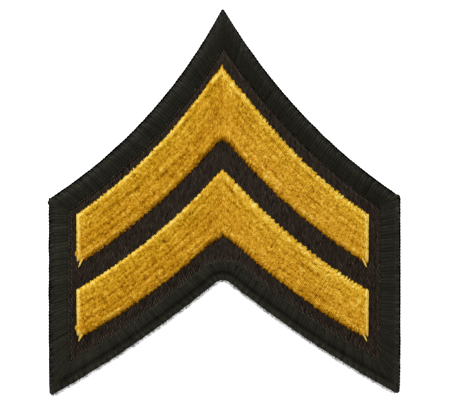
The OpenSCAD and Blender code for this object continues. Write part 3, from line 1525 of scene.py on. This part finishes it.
    def needle_line(self, spool: Spool) -> None:
        """Lay the needle thread's short stitches along the edge's inner side.

        Args:
            spool: Where to gather them.
        """
        plan, rng = self.plan, np.random.default_rng(self.seed + 2)
        count = 2 * self.count
        along, rise, girth = self.BEAD.T
        run = self.run(np.arange(count)[:, None] / 2 + along)
        at = plan.rim.place(run, self.bead_in)
        out = unit(plan.rim.place(run, self.bead_faces * plan.border_w) - at)
        at = at - out * along[None, :, None] * self.bead_lean
        lift = rng.normal(1, self.bead_spread, count)[:, None]
        centre = plan.lift(at, self.bead_level * plan.edge_t + self.bead_h / 2 * rise * lift)
        width = self.bead_w / 2 * girth * rng.normal(1, self.girth_spread, (count, 1))
        tone = rng.normal(self.tone, self.bead_spread, (count, 1))
        spool.sweep(
            centre,
            UP,
            self.crowding(centre, width),
            self.bead_h / 2 * girth,
            tone + self.blend(run, self.SHADE[:, 2]),
            sides=self.bead_sides,
        )

    def fuzz(self, spool: Spool) -> None:
        """Loosen fine fibres from the yarn along the two lower edges.

        Args:
            spool: Where to gather them.
        """
        plan, rng = self.plan, np.random.default_rng(self.seed + 3)
        lower = np.flatnonzero(self.IS_FOOT)
        ends = np.cumsum(plan.rim.lengths())
        first, last = ends[2 * lower[0] - 1], ends[2 * lower[-1] + 1]
        count = round((last - first) / MM * self.fuzz_per_mm)
        run = rng.uniform(first, last, count)
        root = plan.rim.place(run, self.foot_purl_in)
        out = unit(plan.rim.place(run, 0) - root)
        side = np.stack([-out[:, 1], out[:, 0]], -1)
        share = np.linspace(0, 1, self.fuzz_rings)[:, None]
        reach = self.foot_purl_in + self.fuzz_reach * rng.power(self.fuzz_even, (count, 1, 1))
        lean = rng.normal(0, self.fuzz_lean, (count, 1, 1))
        lean = lean + rng.normal(0, self.fuzz_curl, (count, 1, 1)) * share
        flat = root[:, None] + reach * share * (out[:, None] + side[:, None] * lean)
        level = rng.uniform(self.fuzz_low, self.fuzz_high, (count, 1))
        level = level * (1 - self.fuzz_drop * share[:, 0])
        girth = self.fuzz_w / 2 * (1 - self.fuzz_taper * share[:, 0])
        centre = plan.lift(flat, level * plan.edge_t)
        spool.sweep(centre, UP, girth, girth, self.fuzz_tone, sides=self.fuzz_sides)

    def build(self) -> None:
        """Build the edge's pieces and dress them."""
        for name, finish, parts in (
            ("merrow_wrap", BLACK_YARN, (self.core, self.wraps)),
            ("merrow_purl", PURL_YARN, (self.purl, self.fuzz)),
            ("merrow_needle_line", NEEDLE_THREAD, (self.needle_line,)),
        ):
            spool = Spool()
            for part in parts:
                part(spool)
            piece = spool.wind(name)
            dress(piece, finish)
            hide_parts(Node.EDGE.value)


@dataclass(frozen=True)
class Arm:
    """How the stitches of one arm lie, in millimetres.

    The ridge is a painted highlight, the brightest part of the upper edge, which faces the
    light. The stitches end a little way in from the solid: on its upper edge near the centre
    line and far from it, and on its lower edge. At the peak's very centre they end further
    in, over some width. The rows are furrows, at distances from the upper edge.
    """

    ridge_in: float
    ridge_w: float
    painted_ridge_light: float
    centre_in: float
    outer_in: float
    foot_in: float
    peak_in: float
    peak_w: float
    rows: tuple[float, ...]


@dataclass(frozen=True)
class Strand:
    """A loose strand of thread at an arm's lower outer corner.

    Its points lie out and up from the corner, in millimetres as its half width is. Its
    level is a share of gold_t.
    """

    route: tuple[tuple[float, float], ...]
    half_w: float
    level: float
    tone: float


@dataclass(frozen=True)
class LaidLines:
    """Lines of stitches across one arm, as line and ring, from the upper edge down.

    Beside the plan point of each ring, they hold its distance along the line and from
    where the line would start on the bar's full outline, and how far in it lies from the
    arm's upper edge, lower edge and end.
    """

    plane: Array
    run: Array
    length: Array
    from_top: Array
    full: Array
    in_top: Array
    in_low: Array
    to_end: Array

    @property
    def count(self) -> int:
        """Return how many lines there are."""
        return len(self.run)

    @property
    def x(self) -> Array:
        """Return how far right of the centre line each ring lies."""
        return self.plane[..., 0]

    @property
    def to_edge(self) -> Array:
        """Return how far each ring lies from the nearer end of its line."""
        return np.minimum(self.run, self.length - self.run)


@dataclass(frozen=True)
class Relief:
    """How the lines rise and fall over the padding, as line and ring.

    Needle rows sink them, furrows part their rows, a bead raises them near the lower edge,
    and streaks and grain roughen them.
    """

    sink: Array
    furrow: Array
    bead: Array
    streak: Array
    grain: Array


@dataclass
class Chevron:
    """A gold bar: lines of stitches across both arms, over a padded body."""

    plan: PatchPlan
    number: int
    node: Node
    spacing: float = 0.36 * MM
    thread_w: float = 0.44 * MM
    thread_h: float = 0.24 * MM
    thread_spread: float = 0.06
    thread_sides: int = 6
    ring_count: int = 64
    end_share: float = 0.55
    end_taper: float = 0.2 * MM
    bow: float = 0.03 * MM
    stray: float = 0.06 * MM
    row_pitch: float = 1.1 * MM
    first_row: float = 0.72
    wave: float = 0.2 * MM
    wave_lines: float = 3
    cycle: int = 3
    missed: float = 0.15
    groove: float = 0.03 * MM
    groove_w: float = 0.22 * MM
    groove_spread: float = 0.35
    groove_lines: float = 5
    hole: float = 0.06 * MM
    hole_w: float = 0.18 * MM
    sink_from: float = 0.4 * MM
    sink_shade: float = 1.1
    row_w: float = 0.42 * MM
    row_depth: float = 0.03 * MM
    row_shade: float = 0.11
    row_lines: float = 9
    row_spread: float = 0.3
    row_spread_lines: float = 4
    streak_h: float = 0.02 * MM
    streak_light: float = 0.05
    grain_h: float = 0.015 * MM
    grain_light: float = 0.112
    tone: float = 0.55
    tone_spread: float = 0.03
    glint_spread: float = 0.3
    glint_lines: float = 0.8
    centre_dark: float = 0.05
    centre_warm: float = 0.25
    centre_w: float = 5 * MM
    crown_in: float = 0.2 * MM
    end_set_in: float = 0.12 * MM
    end_in: float = 0.42 * MM
    end_w: float = 0.32 * MM
    end_light: float = 0.5
    foot_out: float = 0.08 * MM
    foot_reach: float = 0.85 * MM
    foot_shade: float = 0.6
    bead_in: float = 1.3 * MM
    bead_w: float = 0.2 * MM
    bead_h: float = 0.03 * MM
    bead_light: float = 0.13
    bead_spread: float = 0.9
    bead_lines: float = 1
    tooth_pitch: float = 1.27 * MM
    tooth_drift: float = 0.7
    foot_tooth: float = 0.3 * MM
    blunt: float = 0.8 * MM
    crowded: float = 0.45
    tip_r: float = 0.15 * MM
    fan_width: float = 3.0
    fan_bend: float = 2.0
    tail_rings: int = 16
    tail_stray: float = 0.03 * MM
    tail_drop: float = 0.35
    tail_flat: float = 0.7
    tail_blunt: float = 0.3
    tail_swell: float = 6.0
    tail_thin: float = 4.0
    tail_foot: float = 0.995
    seed: int = 37

    outline: Outline = field(init=False)
    seat: float = field(init=False)
    rng: np.random.Generator = field(init=False)

    # How high the thread's crown stands at distances in from an edge of the bar, and
    # from an arm's end. Shares of gold_t.
    TOP_RISE = ((0.0, 0.06, 0.15, 0.3, 0.55, 0.95, 1.6), (-0.1, 0.25, 0.5, 0.74, 0.94, 1.0, 1.0))
    FOOT_RISE = ((0.0, 0.08, 0.25, 0.5, 0.85, 1.2, 1.6), (-0.1, 0.12, 0.32, 0.54, 0.8, 0.97, 1.0))
    END_RISE = ((0.0, 0.15, 0.35, 0.7, 1.2), (0.3, 0.6, 0.92, 1.0, 1.0))
    ARMS = {
        (0, Side.LEFT): Arm(
            ridge_in=0.45,
            ridge_w=0.36,
            painted_ridge_light=0.34,
            centre_in=0.06,
            outer_in=0.12,
            foot_in=0.03,
            peak_in=0.6,
            peak_w=1.8,
            rows=(1.5, 3.45, 5.4, 6.95),
        ),
        (0, Side.RIGHT): Arm(
            ridge_in=0.65,
            ridge_w=0.5,
            painted_ridge_light=0.24,
            centre_in=-0.1,
            outer_in=0.1,
            foot_in=0.0,
            peak_in=1.02,
            peak_w=3.4,
            rows=(1.7, 3.45, 5.0, 6.7),
        ),
        (1, Side.LEFT): Arm(
            ridge_in=0.4,
            ridge_w=0.36,
            painted_ridge_light=0.34,
            centre_in=-0.04,
            outer_in=-0.06,
            foot_in=-0.08,
            peak_in=0.25,
            peak_w=0.8,
            rows=(2.05, 3.45, 4.75, 6.3, 8.0),
        ),
        (1, Side.RIGHT): Arm(
            ridge_in=0.9,
            ridge_w=0.75,
            painted_ridge_light=0.19,
            centre_in=-0.15,
            outer_in=0.06,
            foot_in=0.0,
            peak_in=0.3,
            peak_w=1.2,
            rows=(2.05, 3.55, 5.7, 7.05, 8.25),
        ),
    }
    # How far out along the arms centre_in gives way to outer_in. Millimetres.
    GIVES_WAY = (10, 22)
    # How far out the stitches end in each bar's notch, and over what width. Millimetres.
    NOTCH_OUT = ((0.68, 1.0), (0.85, 1.6))
    # How deep the teeth of each arm's upper edge are.
    TOOTH = {Side.LEFT: 0.24 * MM, Side.RIGHT: 0.34 * MM}
    # How much a crowded line stops short, at least and at most. Millimetres.
    SHORT = (0.9, 2.4)
    # How far the grooves' depth may differ from the mean, as shares of it.
    GROOVE_LIMITS = (0.1, 2)
    # Over how many lines, and how many rings of each, the streaks and the grain change.
    STREAK = (6, 1)
    GRAIN = (0.55, 0.5)
    # How warm the thread's colour grows from a bar's upper edge, at 0, to its lower, at 1.
    WARMTH = ((0.15, 0.4, 0.65), (0.0, 0.5, 0.9))
    # Painted sheen: how much brighter each arm's thread is painted than the mean, as its
    # stitches lie at another angle to the light.
    PAINTED_SHEEN = {Side.LEFT: 0.0, Side.RIGHT: 0.04}
    # The tails' high tones are a painted highlight on their loose thread.
    TAIL = (
        Strand(
            route=((-1.55, 2.1), (-1.1, 1.0), (-0.7, 0.25), (-0.4, -0.35)),
            half_w=0.17,
            level=0.5,
            tone=0.95,
        ),
        Strand(
            route=((-1.4, 1.9), (-1.0, 1.1), (-0.68, 0.5), (-0.55, -0.1)),
            half_w=0.14,
            level=0.6,
            tone=0.8,
        ),
    )
    KNOT = (
        Strand(
            route=((-0.5, 3.3), (-0.05, 2.95), (0.1, 2.6), (0.0, 2.25), (-0.45, 1.9)),
            half_w=0.27,
            level=0.62,
            tone=0.6,
        ),
        Strand(
            route=((-0.5, 3.0), (-0.22, 2.8), (-0.14, 2.6), (-0.22, 2.4), (-0.5, 2.2)),
            half_w=0.26,
            level=0.78,
            tone=0.55,
        ),
    )
    # Where the first rings of a line lie, counted from each of its ends. Millimetres.
    END_RINGS = (0.0, 0.04, 0.1, 0.19, 0.31, 0.46)
    # The padding's rings: how far in, in millimetres, and how high, as a share of gold_t.
    PADDING = ((0.8, -0.1), (0.8, 0.2), (1.1, 0.4), (1.6, 0.52), (2.2, 0.57), (3.0, 0.58))
    # The padding's tone, darker than the stitches', is painted shade where it shows between them.
    PADDING_SHADE = 0.3

    def __post_init__(self) -> None:
        """Trace the bar's outline and seed its random draws."""
        self.outline = self.plan.chevron_outline(self.number)
        self.seat = self.plan.cloth_top + self.plan.clearance
        self.rng = np.random.default_rng(self.seed + self.number)

    def slow(self, count: int, width: float) -> Array:
        """Draw noise for each line that keeps its value over a width of so many lines."""
        return soft_noise(self.rng, (count, 1), (width, 1))

    def edge_levels(self) -> tuple[tuple[Array, Array], tuple[Array, Array]]:
        """Trace the bar's upper and lower edge, with their rounded corners.

        Returns:
            For each edge, its X in rising order and its Y.
        """
        corners = [replace(c, rounding=min(c.rounding, self.tip_r)) for c in self.outline.corners]
        ring = Outline(corners).ring(0, arm_steps=120, round_steps=8)
        tie = 1e-3 * ring[:, 1]
        start = int(np.argmin(ring[:, 0] + tie))
        far = (int(np.argmax(ring[:, 0] - tie)) - start) % len(ring)
        ring = np.roll(ring, -start, axis=0)
        foot, top = ring[: far + 1], ring[far:][::-1]
        return (top[:, 0], top[:, 1]), (foot[:, 0], foot[:, 1])

    def arm_lines(self, side: Side) -> tuple[Array, Array, Array, Array]:
        """Fan the lines of stitches along one arm.

        They stand square to the arm, and turn upright at its end and at the centre line.

        Args:
            side: Which arm.

        Returns:
            The lines' ends on the upper and the lower edge, and how open the lines are
            there, from 0 to 1.
        """
        plan = self.plan
        top_r, low_r = plan.bar_radii(self.number)
        far, mid = plan.arm_side - plan.gold_w / 2 + self.end_set_in, plan.arm_side
        outer = [math.asin(far / r) for r in (top_r, low_r)]
        inner = [math.asin(mid / r) for r in (top_r, low_r)]
        start, end = outer[1], inner[0]
        count = round((end - start) * (top_r + low_r) / 2 / self.spacing)
        u = start + (end - start) * (np.arange(count) + 0.5) / count
        angles, opens = [], []
        for shift, away in ((outer[0] - start, u - start), (inner[1] - end, end - u)):
            width = self.fan_width * abs(shift)
            left = np.clip(1 - away / width, 0, 1)
            angles.append(u + shift * left**self.fan_bend)
            slope = self.fan_bend * abs(shift) / width * left ** (self.fan_bend - 1)
            opens.append(1 - slope)
        centre = np.array([-plan.arm_side, 0.0])
        ends = [
            centre + r * np.stack([np.sin(a), -np.cos(a)], -1)
            for r, a in zip((top_r, low_r), angles)
        ]
        flip = np.array([-side.value, 1.0])
        return ends[0] * flip, ends[1] * flip, opens[0], opens[1]

    def trimmed(self, top: Array, low: Array) -> tuple[Array, Array]:
        """Trim or lengthen the lines to the bar's rounded outline.

        Args:
            top: Upper ends of the lines.
            low: Lower ends.

        Returns:
            The ends, on the outline.
        """
        upper, lower = self.edge_levels()
        reach, steps = 0.1, 81
        shares = np.linspace(-reach, reach, steps)
        ends = []
        for near, far, edge, sense in ((top, low, upper, 1), (low, top, lower, -1)):
            points = near[:, None] + (far - near)[:, None] * shares[None, :, None]
            level = np.interp(points[..., 0], *edge)
            is_in = sense * (level - points[..., 1]) >= 0
            first = np.argmax(is_in, axis=1)
            ends.append(points[np.arange(len(near)), first])
        return ends[0], ends[1]

    def insets(self, side: Side, plane: Array) -> tuple[Array, Array]:
        """Measure how far plan points lie in from an arm's upper and lower edge.

        Args:
            side: Which arm.
            plane: The points.

        Returns:
            The two distances.
        """
        centre = np.array([side.value * self.plan.arm_side, 0.0])
        top_r, low_r = self.plan.bar_radii(self.number)
        reach = np.linalg.norm(plane - centre, axis=-1)
        return reach - top_r, low_r - reach

    def set_in(self, side: Side, x: Array) -> tuple[Array, Array]:
        """Say how far in from the solid's edges an arm's stitches end.

        Args:
            side: Which arm.
            x: How far right of the centre line the stitches lie.

        Returns:
            The distances at the upper and the lower edge.
        """
        arm = self.ARMS[self.number, side]
        notch_out, notch_w = self.NOTCH_OUT[self.number]
        upper = np.interp(np.abs(x) / MM, self.GIVES_WAY, (arm.centre_in, arm.outer_in))
        upper = upper + arm.peak_in * bell(x / MM, 0, arm.peak_w)
        lower = arm.foot_in - notch_out * bell(x / MM, 0, notch_w)
        return upper * MM, lower * MM

    def ragged(self, side: Side, top: Array, low: Array, opens: list) -> tuple[Array, Array]:
        """Set the lines' ends out and in a little, as stitches end in turn.

        Where the fan crowds its lines, every second one stops short.

        Args:
            side: Which arm.
            top: Upper ends of the lines.
            low: Lower ends.
            opens: How open the lines are at either edge.

        Returns:
            The ends, set out or in.
        """
        rng, count = self.rng, len(top)
        way = unit(low - top)
        ends = []
        for near, sense, is_open in ((top, 1, opens[0]), (low, -1, opens[1])):
            upper_in, foot_in = self.set_in(side, near[:, 0])
            swing = TAU * np.arange(count) * self.spacing / self.tooth_pitch
            swing = swing + np.cumsum(rng.normal(0, self.tooth_drift, count))
            tooth = self.TOOTH[side] if sense > 0 else self.foot_tooth
            inset = tooth * (0.5 - 0.5 * np.cos(swing)) + rng.normal(0, self.stray, count)
            if sense > 0:
                inset = inset + upper_in
            else:
                to_end = self.plan.gold_w / 2 - np.abs(near[:, 0])
                inset = inset + foot_in + self.blunt * bell(to_end, 0, self.blunt)
                inset = inset + rng.normal(0, self.stray, count)
            is_short = (np.arange(count) % 2 == 1) & (is_open < self.crowded)
            inset = np.where(is_short, rng.uniform(*self.SHORT, count) * MM, inset)
            ends.append(near + sense * way * inset[:, None])
        return ends[0], ends[1]

    def lay(self, side: Side) -> LaidLines:
        """Lay the lines across one arm, each with a slight bow and with rings along it.

        Args:
            side: Which arm.

        Returns:
            The lines.
        """
        full_top, full_low, *opens = self.arm_lines(side)
        full_top, full_low = self.trimmed(full_top, full_low)
        top, low = self.ragged(side, full_top, full_low, opens)
        count = len(top)
        length = np.linalg.norm(low - top, axis=1)[:, None]
        way = unit(low - top)[:, None]
        ends = np.array(self.END_RINGS) * MM
        middle = np.linspace(0, 1, self.ring_count - 2 * len(ends) + 2)[None, 1:-1]
        inner = ends[-1] + (length - 2 * ends[-1]) * middle
        near = np.repeat(ends[None], count, axis=0)
        run = np.concatenate([near, inner, length - near[:, ::-1]], axis=1)
        bow = self.rng.normal(0, self.bow, (count, 1)) * np.sin(math.pi * run / length)
        across = np.stack([-way[..., 1], way[..., 0]], -1)
        plane = top[:, None] + way * run[..., None] + across * bow[..., None]
        in_top, in_low = self.insets(side, plane)
        return LaidLines(
            plane=plane,
            run=run,
            length=length,
            from_top=np.sum((plane - full_top[:, None]) * way, axis=-1),
            full=np.linalg.norm(full_low - full_top, axis=1)[:, None],
            in_top=in_top,
            in_low=in_low,
            to_end=self.plan.gold_w / 2 - np.abs(plane[..., 0]),
        )

    def needle_rows(self, laid: LaidLines) -> Array:
        """Sink the lines at rows of needle holes.

        Each thread dives at its own holes, and sinks a little at the other rows.

        Args:
            laid: The lines.

        Returns:
            How far each ring sinks.
        """
        rng, count = self.rng, laid.count
        rows = round(self.plan.bar_w / self.row_pitch)
        sink = np.zeros_like(laid.run)
        for row in range(rows):
            share = (row + self.first_row) / (rows - 1 + 2 * self.first_row)
            drift = self.wave * self.slow(count, self.wave_lines)
            drift = drift + rng.normal(0, self.stray, (count, 1))
            gap = laid.from_top - share * laid.full - drift
            depth = 1 + self.groove_spread * self.slow(count, self.groove_lines)
            depth = self.groove * np.clip(depth, *self.GROOVE_LIMITS)
            sink += depth * bell(gap, 0, self.groove_w)
            is_hole = ((np.arange(count) + row) % self.cycle == 0)[:, None]
            is_hole = is_hole & (rng.uniform(0, 1, (count, 1)) > self.missed)
            sink += is_hole * self.hole * bell(gap, 0, self.hole_w)
        return sink

    def furrows(self, laid: LaidLines, side: Side) -> Array:
        """Part the lines by furrows that run along the arm.

        Args:
            laid: The lines.
            side: Which arm.

        Returns:
            How deep in a furrow each ring lies, as a share.
        """
        furrow = np.zeros_like(laid.run)
        for row in self.ARMS[self.number, side].rows:
            middle = row * MM + self.stray * self.slow(laid.count, self.row_lines)
            depth = 1 + self.row_spread * self.slow(laid.count, self.row_spread_lines)
            furrow += bell(laid.in_top, middle, self.row_w) * depth
        return furrow

    def height(self, laid: LaidLines, relief: Relief) -> Array:
        """Work out how high the middle of the thread lies.

        Args:
            laid: The lines.
            relief: Their relief.

        Returns:
            The height of each ring.
        """
        rise = np.minimum(laid.run, laid.in_top + self.crown_in) / MM
        crown = np.interp(rise, *self.TOP_RISE) * np.interp(laid.to_end / MM, *self.END_RISE)
        crown = np.minimum(crown, np.interp((laid.length - laid.run) / MM, *self.FOOT_RISE))
        height = self.seat + self.plan.gold_t * crown - self.thread_h / 2
        height = height + self.streak_h * relief.streak + self.grain_h * relief.grain
        height = height - relief.sink * np.clip(laid.to_edge / self.sink_from, 0, 1)
        return height - self.row_depth * relief.furrow + self.bead_h * relief.bead

    def tones(self, laid: LaidLines, relief: Relief, side: Side) -> Array:
        """Work out how bright the thread looks, with its painted shade and highlights.

        Args:
            laid: The lines.
            relief: Their relief.
            side: Which arm.

        Returns:
            The tone of each ring.
        """
        arm, count = self.ARMS[self.number, side], laid.count
        tone = self.tone + self.streak_light * relief.streak + self.grain_light * relief.grain
        tone = tone + self.rng.normal(0, self.tone_spread, (count, 1)) + self.PAINTED_SHEEN[side]
        # Painted shade in the needle holes and in the furrows between rows.
        tone = tone - self.sink_shade * relief.sink / MM - self.row_shade * relief.furrow
        tone = tone - self.centre_dark * bell(laid.x, 0, self.centre_w)
        upper_in, foot_in = self.set_in(side, laid.x)
        # Painted highlight along the upper edge, where the thread turns down toward the light,
        # broken up by glints.
        ridge = bell((laid.in_top - upper_in) / MM, arm.ridge_in, arm.ridge_w)
        glint = 1 + self.glint_spread * self.slow(count, self.glint_lines)
        tone = tone + arm.painted_ridge_light * glint * ridge
        tone = tone + self.end_light * bell(laid.to_end, self.end_in, self.end_w)
        # Painted shade toward the lower edge, which faces away from the light.
        in_foot = laid.in_low - foot_in + self.foot_out
        tone = tone - self.foot_shade * np.clip(1 - in_foot / self.foot_reach, 0, 1)
        glow = 1 + self.bead_spread * self.slow(count, self.bead_lines)
        return tone + self.bead_light * glow * relief.bead

    def lines(self, spool: Spool, side: Side) -> None:
        """Sew the lines of stitches across one arm.

        Args:
            spool: Where to gather them.
            side: Which arm.
        """
        laid = self.lay(side)
        sink = self.needle_rows(laid)
        streak = soft_noise(self.rng, laid.run.shape, self.STREAK)
        grain = soft_noise(self.rng, laid.run.shape, self.GRAIN)
        furrow = self.furrows(laid, side)
        _, foot_in = self.set_in(side, laid.x)
        bead = bell(laid.in_low - foot_in + self.foot_out, self.bead_in, self.bead_w)
        relief = Relief(sink, furrow, bead, streak, grain)
        tone = self.tones(laid, relief, side)
        warmth = np.interp(laid.in_top / self.plan.bar_w, *self.WARMTH)
        warmth = warmth + self.centre_warm * bell(laid.x, 0, self.centre_w)
        taper = np.clip(self.end_share + laid.to_edge / self.end_taper, 0, 1)
        girth = taper * self.rng.normal(1, self.thread_spread, (laid.count, 1))
        spool.sweep(
            self.plan.lift(laid.plane, self.height(laid, relief)),
            UP,
            self.thread_w / 2 * girth,
            self.thread_h / 2,
            tone,
            sides=self.thread_sides,
            warmth=warmth,
        )

    def tie_off(self, spool: Spool, side: Side) -> None:
        """Leave a short tail of thread at an arm's lower outer corner, and a knot on the left.

        Args:
            spool: Where to gather it.
            side: Which arm.
        """
        plan, rng = self.plan, self.rng
        _, foot = self.edge_levels()
        corner_x = side.value * plan.gold_w / 2
        corner = np.array([corner_x, np.interp(corner_x * self.tail_foot, *foot)])
        strands = self.TAIL if side is Side.RIGHT else self.TAIL + self.KNOT
        share = np.linspace(0, 1, self.tail_rings)
        girth = np.minimum(share * self.tail_swell, (1 - share) * self.tail_thin)
        girth = np.clip(girth + self.tail_blunt, 0, 1)
        for strand in strands:
            route = np.array(strand.route) * MM
            route = route + rng.normal(0, self.tail_stray, route.shape)
            path = smooth_through(corner + route * np.array([side.value, 1.0]), self.tail_rings)
            height = self.seat + plan.gold_t * (strand.level - self.tail_drop * share)
            half_w = strand.half_w * MM * girth
            spool.sweep(
                plan.lift(path, height)[None], UP, half_w, self.tail_flat * half_w, strand.tone
            )

    def padding(self, spool: Spool) -> None:
        """Build the underlay that the stitches pad out.

        Args:
            spool: Where to gather it.
        """
        rings = [
            self.plan.lift(self.outline.ring(inset * MM), self.seat + share * self.plan.gold_t)
            for inset, share in self.PADDING
        ]
        spool.loft(np.stack(rings), False, self.PADDING_SHADE)

    def build(self) -> None:
        """Build the bar's padding and its two arms, and dress them."""
        name = self.node.value
        spool = Spool()
        self.padding(spool)
        pieces = [spool.wind(f"{name}_padding")]
        for side in Side:
            spool = Spool()
            self.lines(spool, side)
            self.tie_off(spool, side)
            pieces.append(spool.wind(f"{name}_{side.name.lower()}_stitching"))
        for piece in pieces:
            dress(piece, GOLD_THREAD)
            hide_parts(name)


@dataclass(frozen=True)
class Light:
    """A soft square light that faces the patch, with its side in metres and its watts."""

    name: str
    place: tuple[float, float, float]
    size: float
    power: float

    def hang(self) -> None:
        """Hang the light."""
        data = bpy.data.lights.new(self.name, "AREA")
        data.size, data.energy = self.size, self.power
        lamp = bpy.data.objects.new(self.name, data)
        lamp.location = self.place
        lamp.rotation_mode = "QUATERNION"
        lamp.rotation_quaternion = (-Vector(self.place)).to_track_quat("-Z", "Y")
        bpy.context.scene.collection.objects.link(lamp)


@dataclass
class Studio:
    """A white floor, soft lights from the top of the picture, and the camera overhead."""

    view_w: float = 97.83 * MM
    aim: tuple[float, float] = (0.09 * MM, 0.51 * MM)
    lens_mm: float = 200.0
    sensor_mm: float = 36.0
    nearest: float = 0.01
    farthest: float = 20.0
    floor_w: float = 4.0
    floor_drop: float = 0.02 * MM
    sky: float = 0.4

    LIGHTS = (
        Light("key_light", place=(-0.4, 0.7, 0.75), size=0.5, power=8.3),
        Light("top_light", place=(0.0, 0.1, 1.2), size=0.7, power=2.9),
    )

    def camera(self) -> None:
        """Hang the camera straight above the patch."""
        data = bpy.data.cameras.new("overhead_camera")
        data.lens, data.sensor_width = self.lens_mm, self.sensor_mm
        data.clip_start, data.clip_end = self.nearest, self.farthest
        camera = bpy.data.objects.new("overhead_camera", data)
        camera.location = (*self.aim, self.view_w * self.lens_mm / self.sensor_mm)
        bpy.context.scene.collection.objects.link(camera)
        bpy.context.scene.camera = camera

    def floor(self) -> None:
        """Lay the white floor just under the patch."""
        half = self.floor_w / 2
        mesh = bpy.data.meshes.new("floor")
        corners = [(-half, -half, 0), (half, -half, 0), (half, half, 0), (-half, half, 0)]
        mesh.from_pydata(corners, [], [(0, 1, 2, 3)])
        mesh.materials.append(FloorFinish().material())
        floor = bpy.data.objects.new("floor", mesh)
        floor.location.z = -self.floor_drop
        bpy.context.scene.collection.objects.link(floor)

    def build(self) -> None:
        """Set up the camera, floor, lights and sky."""
        self.camera()
        self.floor()
        for light in self.LIGHTS:
            light.hang()
        world = bpy.data.worlds.new("pale_sky")
        world.use_nodes = True
        sky = world.node_tree.nodes["Background"]
        sky.inputs["Color"].default_value = (*WHITE, 1.0)
        sky.inputs["Strength"].default_value = self.sky
        bpy.context.scene.world = world
        bpy.context.scene.view_settings.view_transform = "Standard"


def main() -> None:
    """Build the patch piece by piece, then the studio round it."""
    logging.basicConfig(level=logging.INFO, format="%(name)s: %(message)s")
    plan = PatchPlan()
    GroundCloth(plan).build()
    MerrowedEdge(plan).build()
    Chevron(plan, 0, Node.UPPER).build()
    Chevron(plan, 1, Node.LOWER).build()
    Studio().build()


if __name__ == "__main__":
    main()
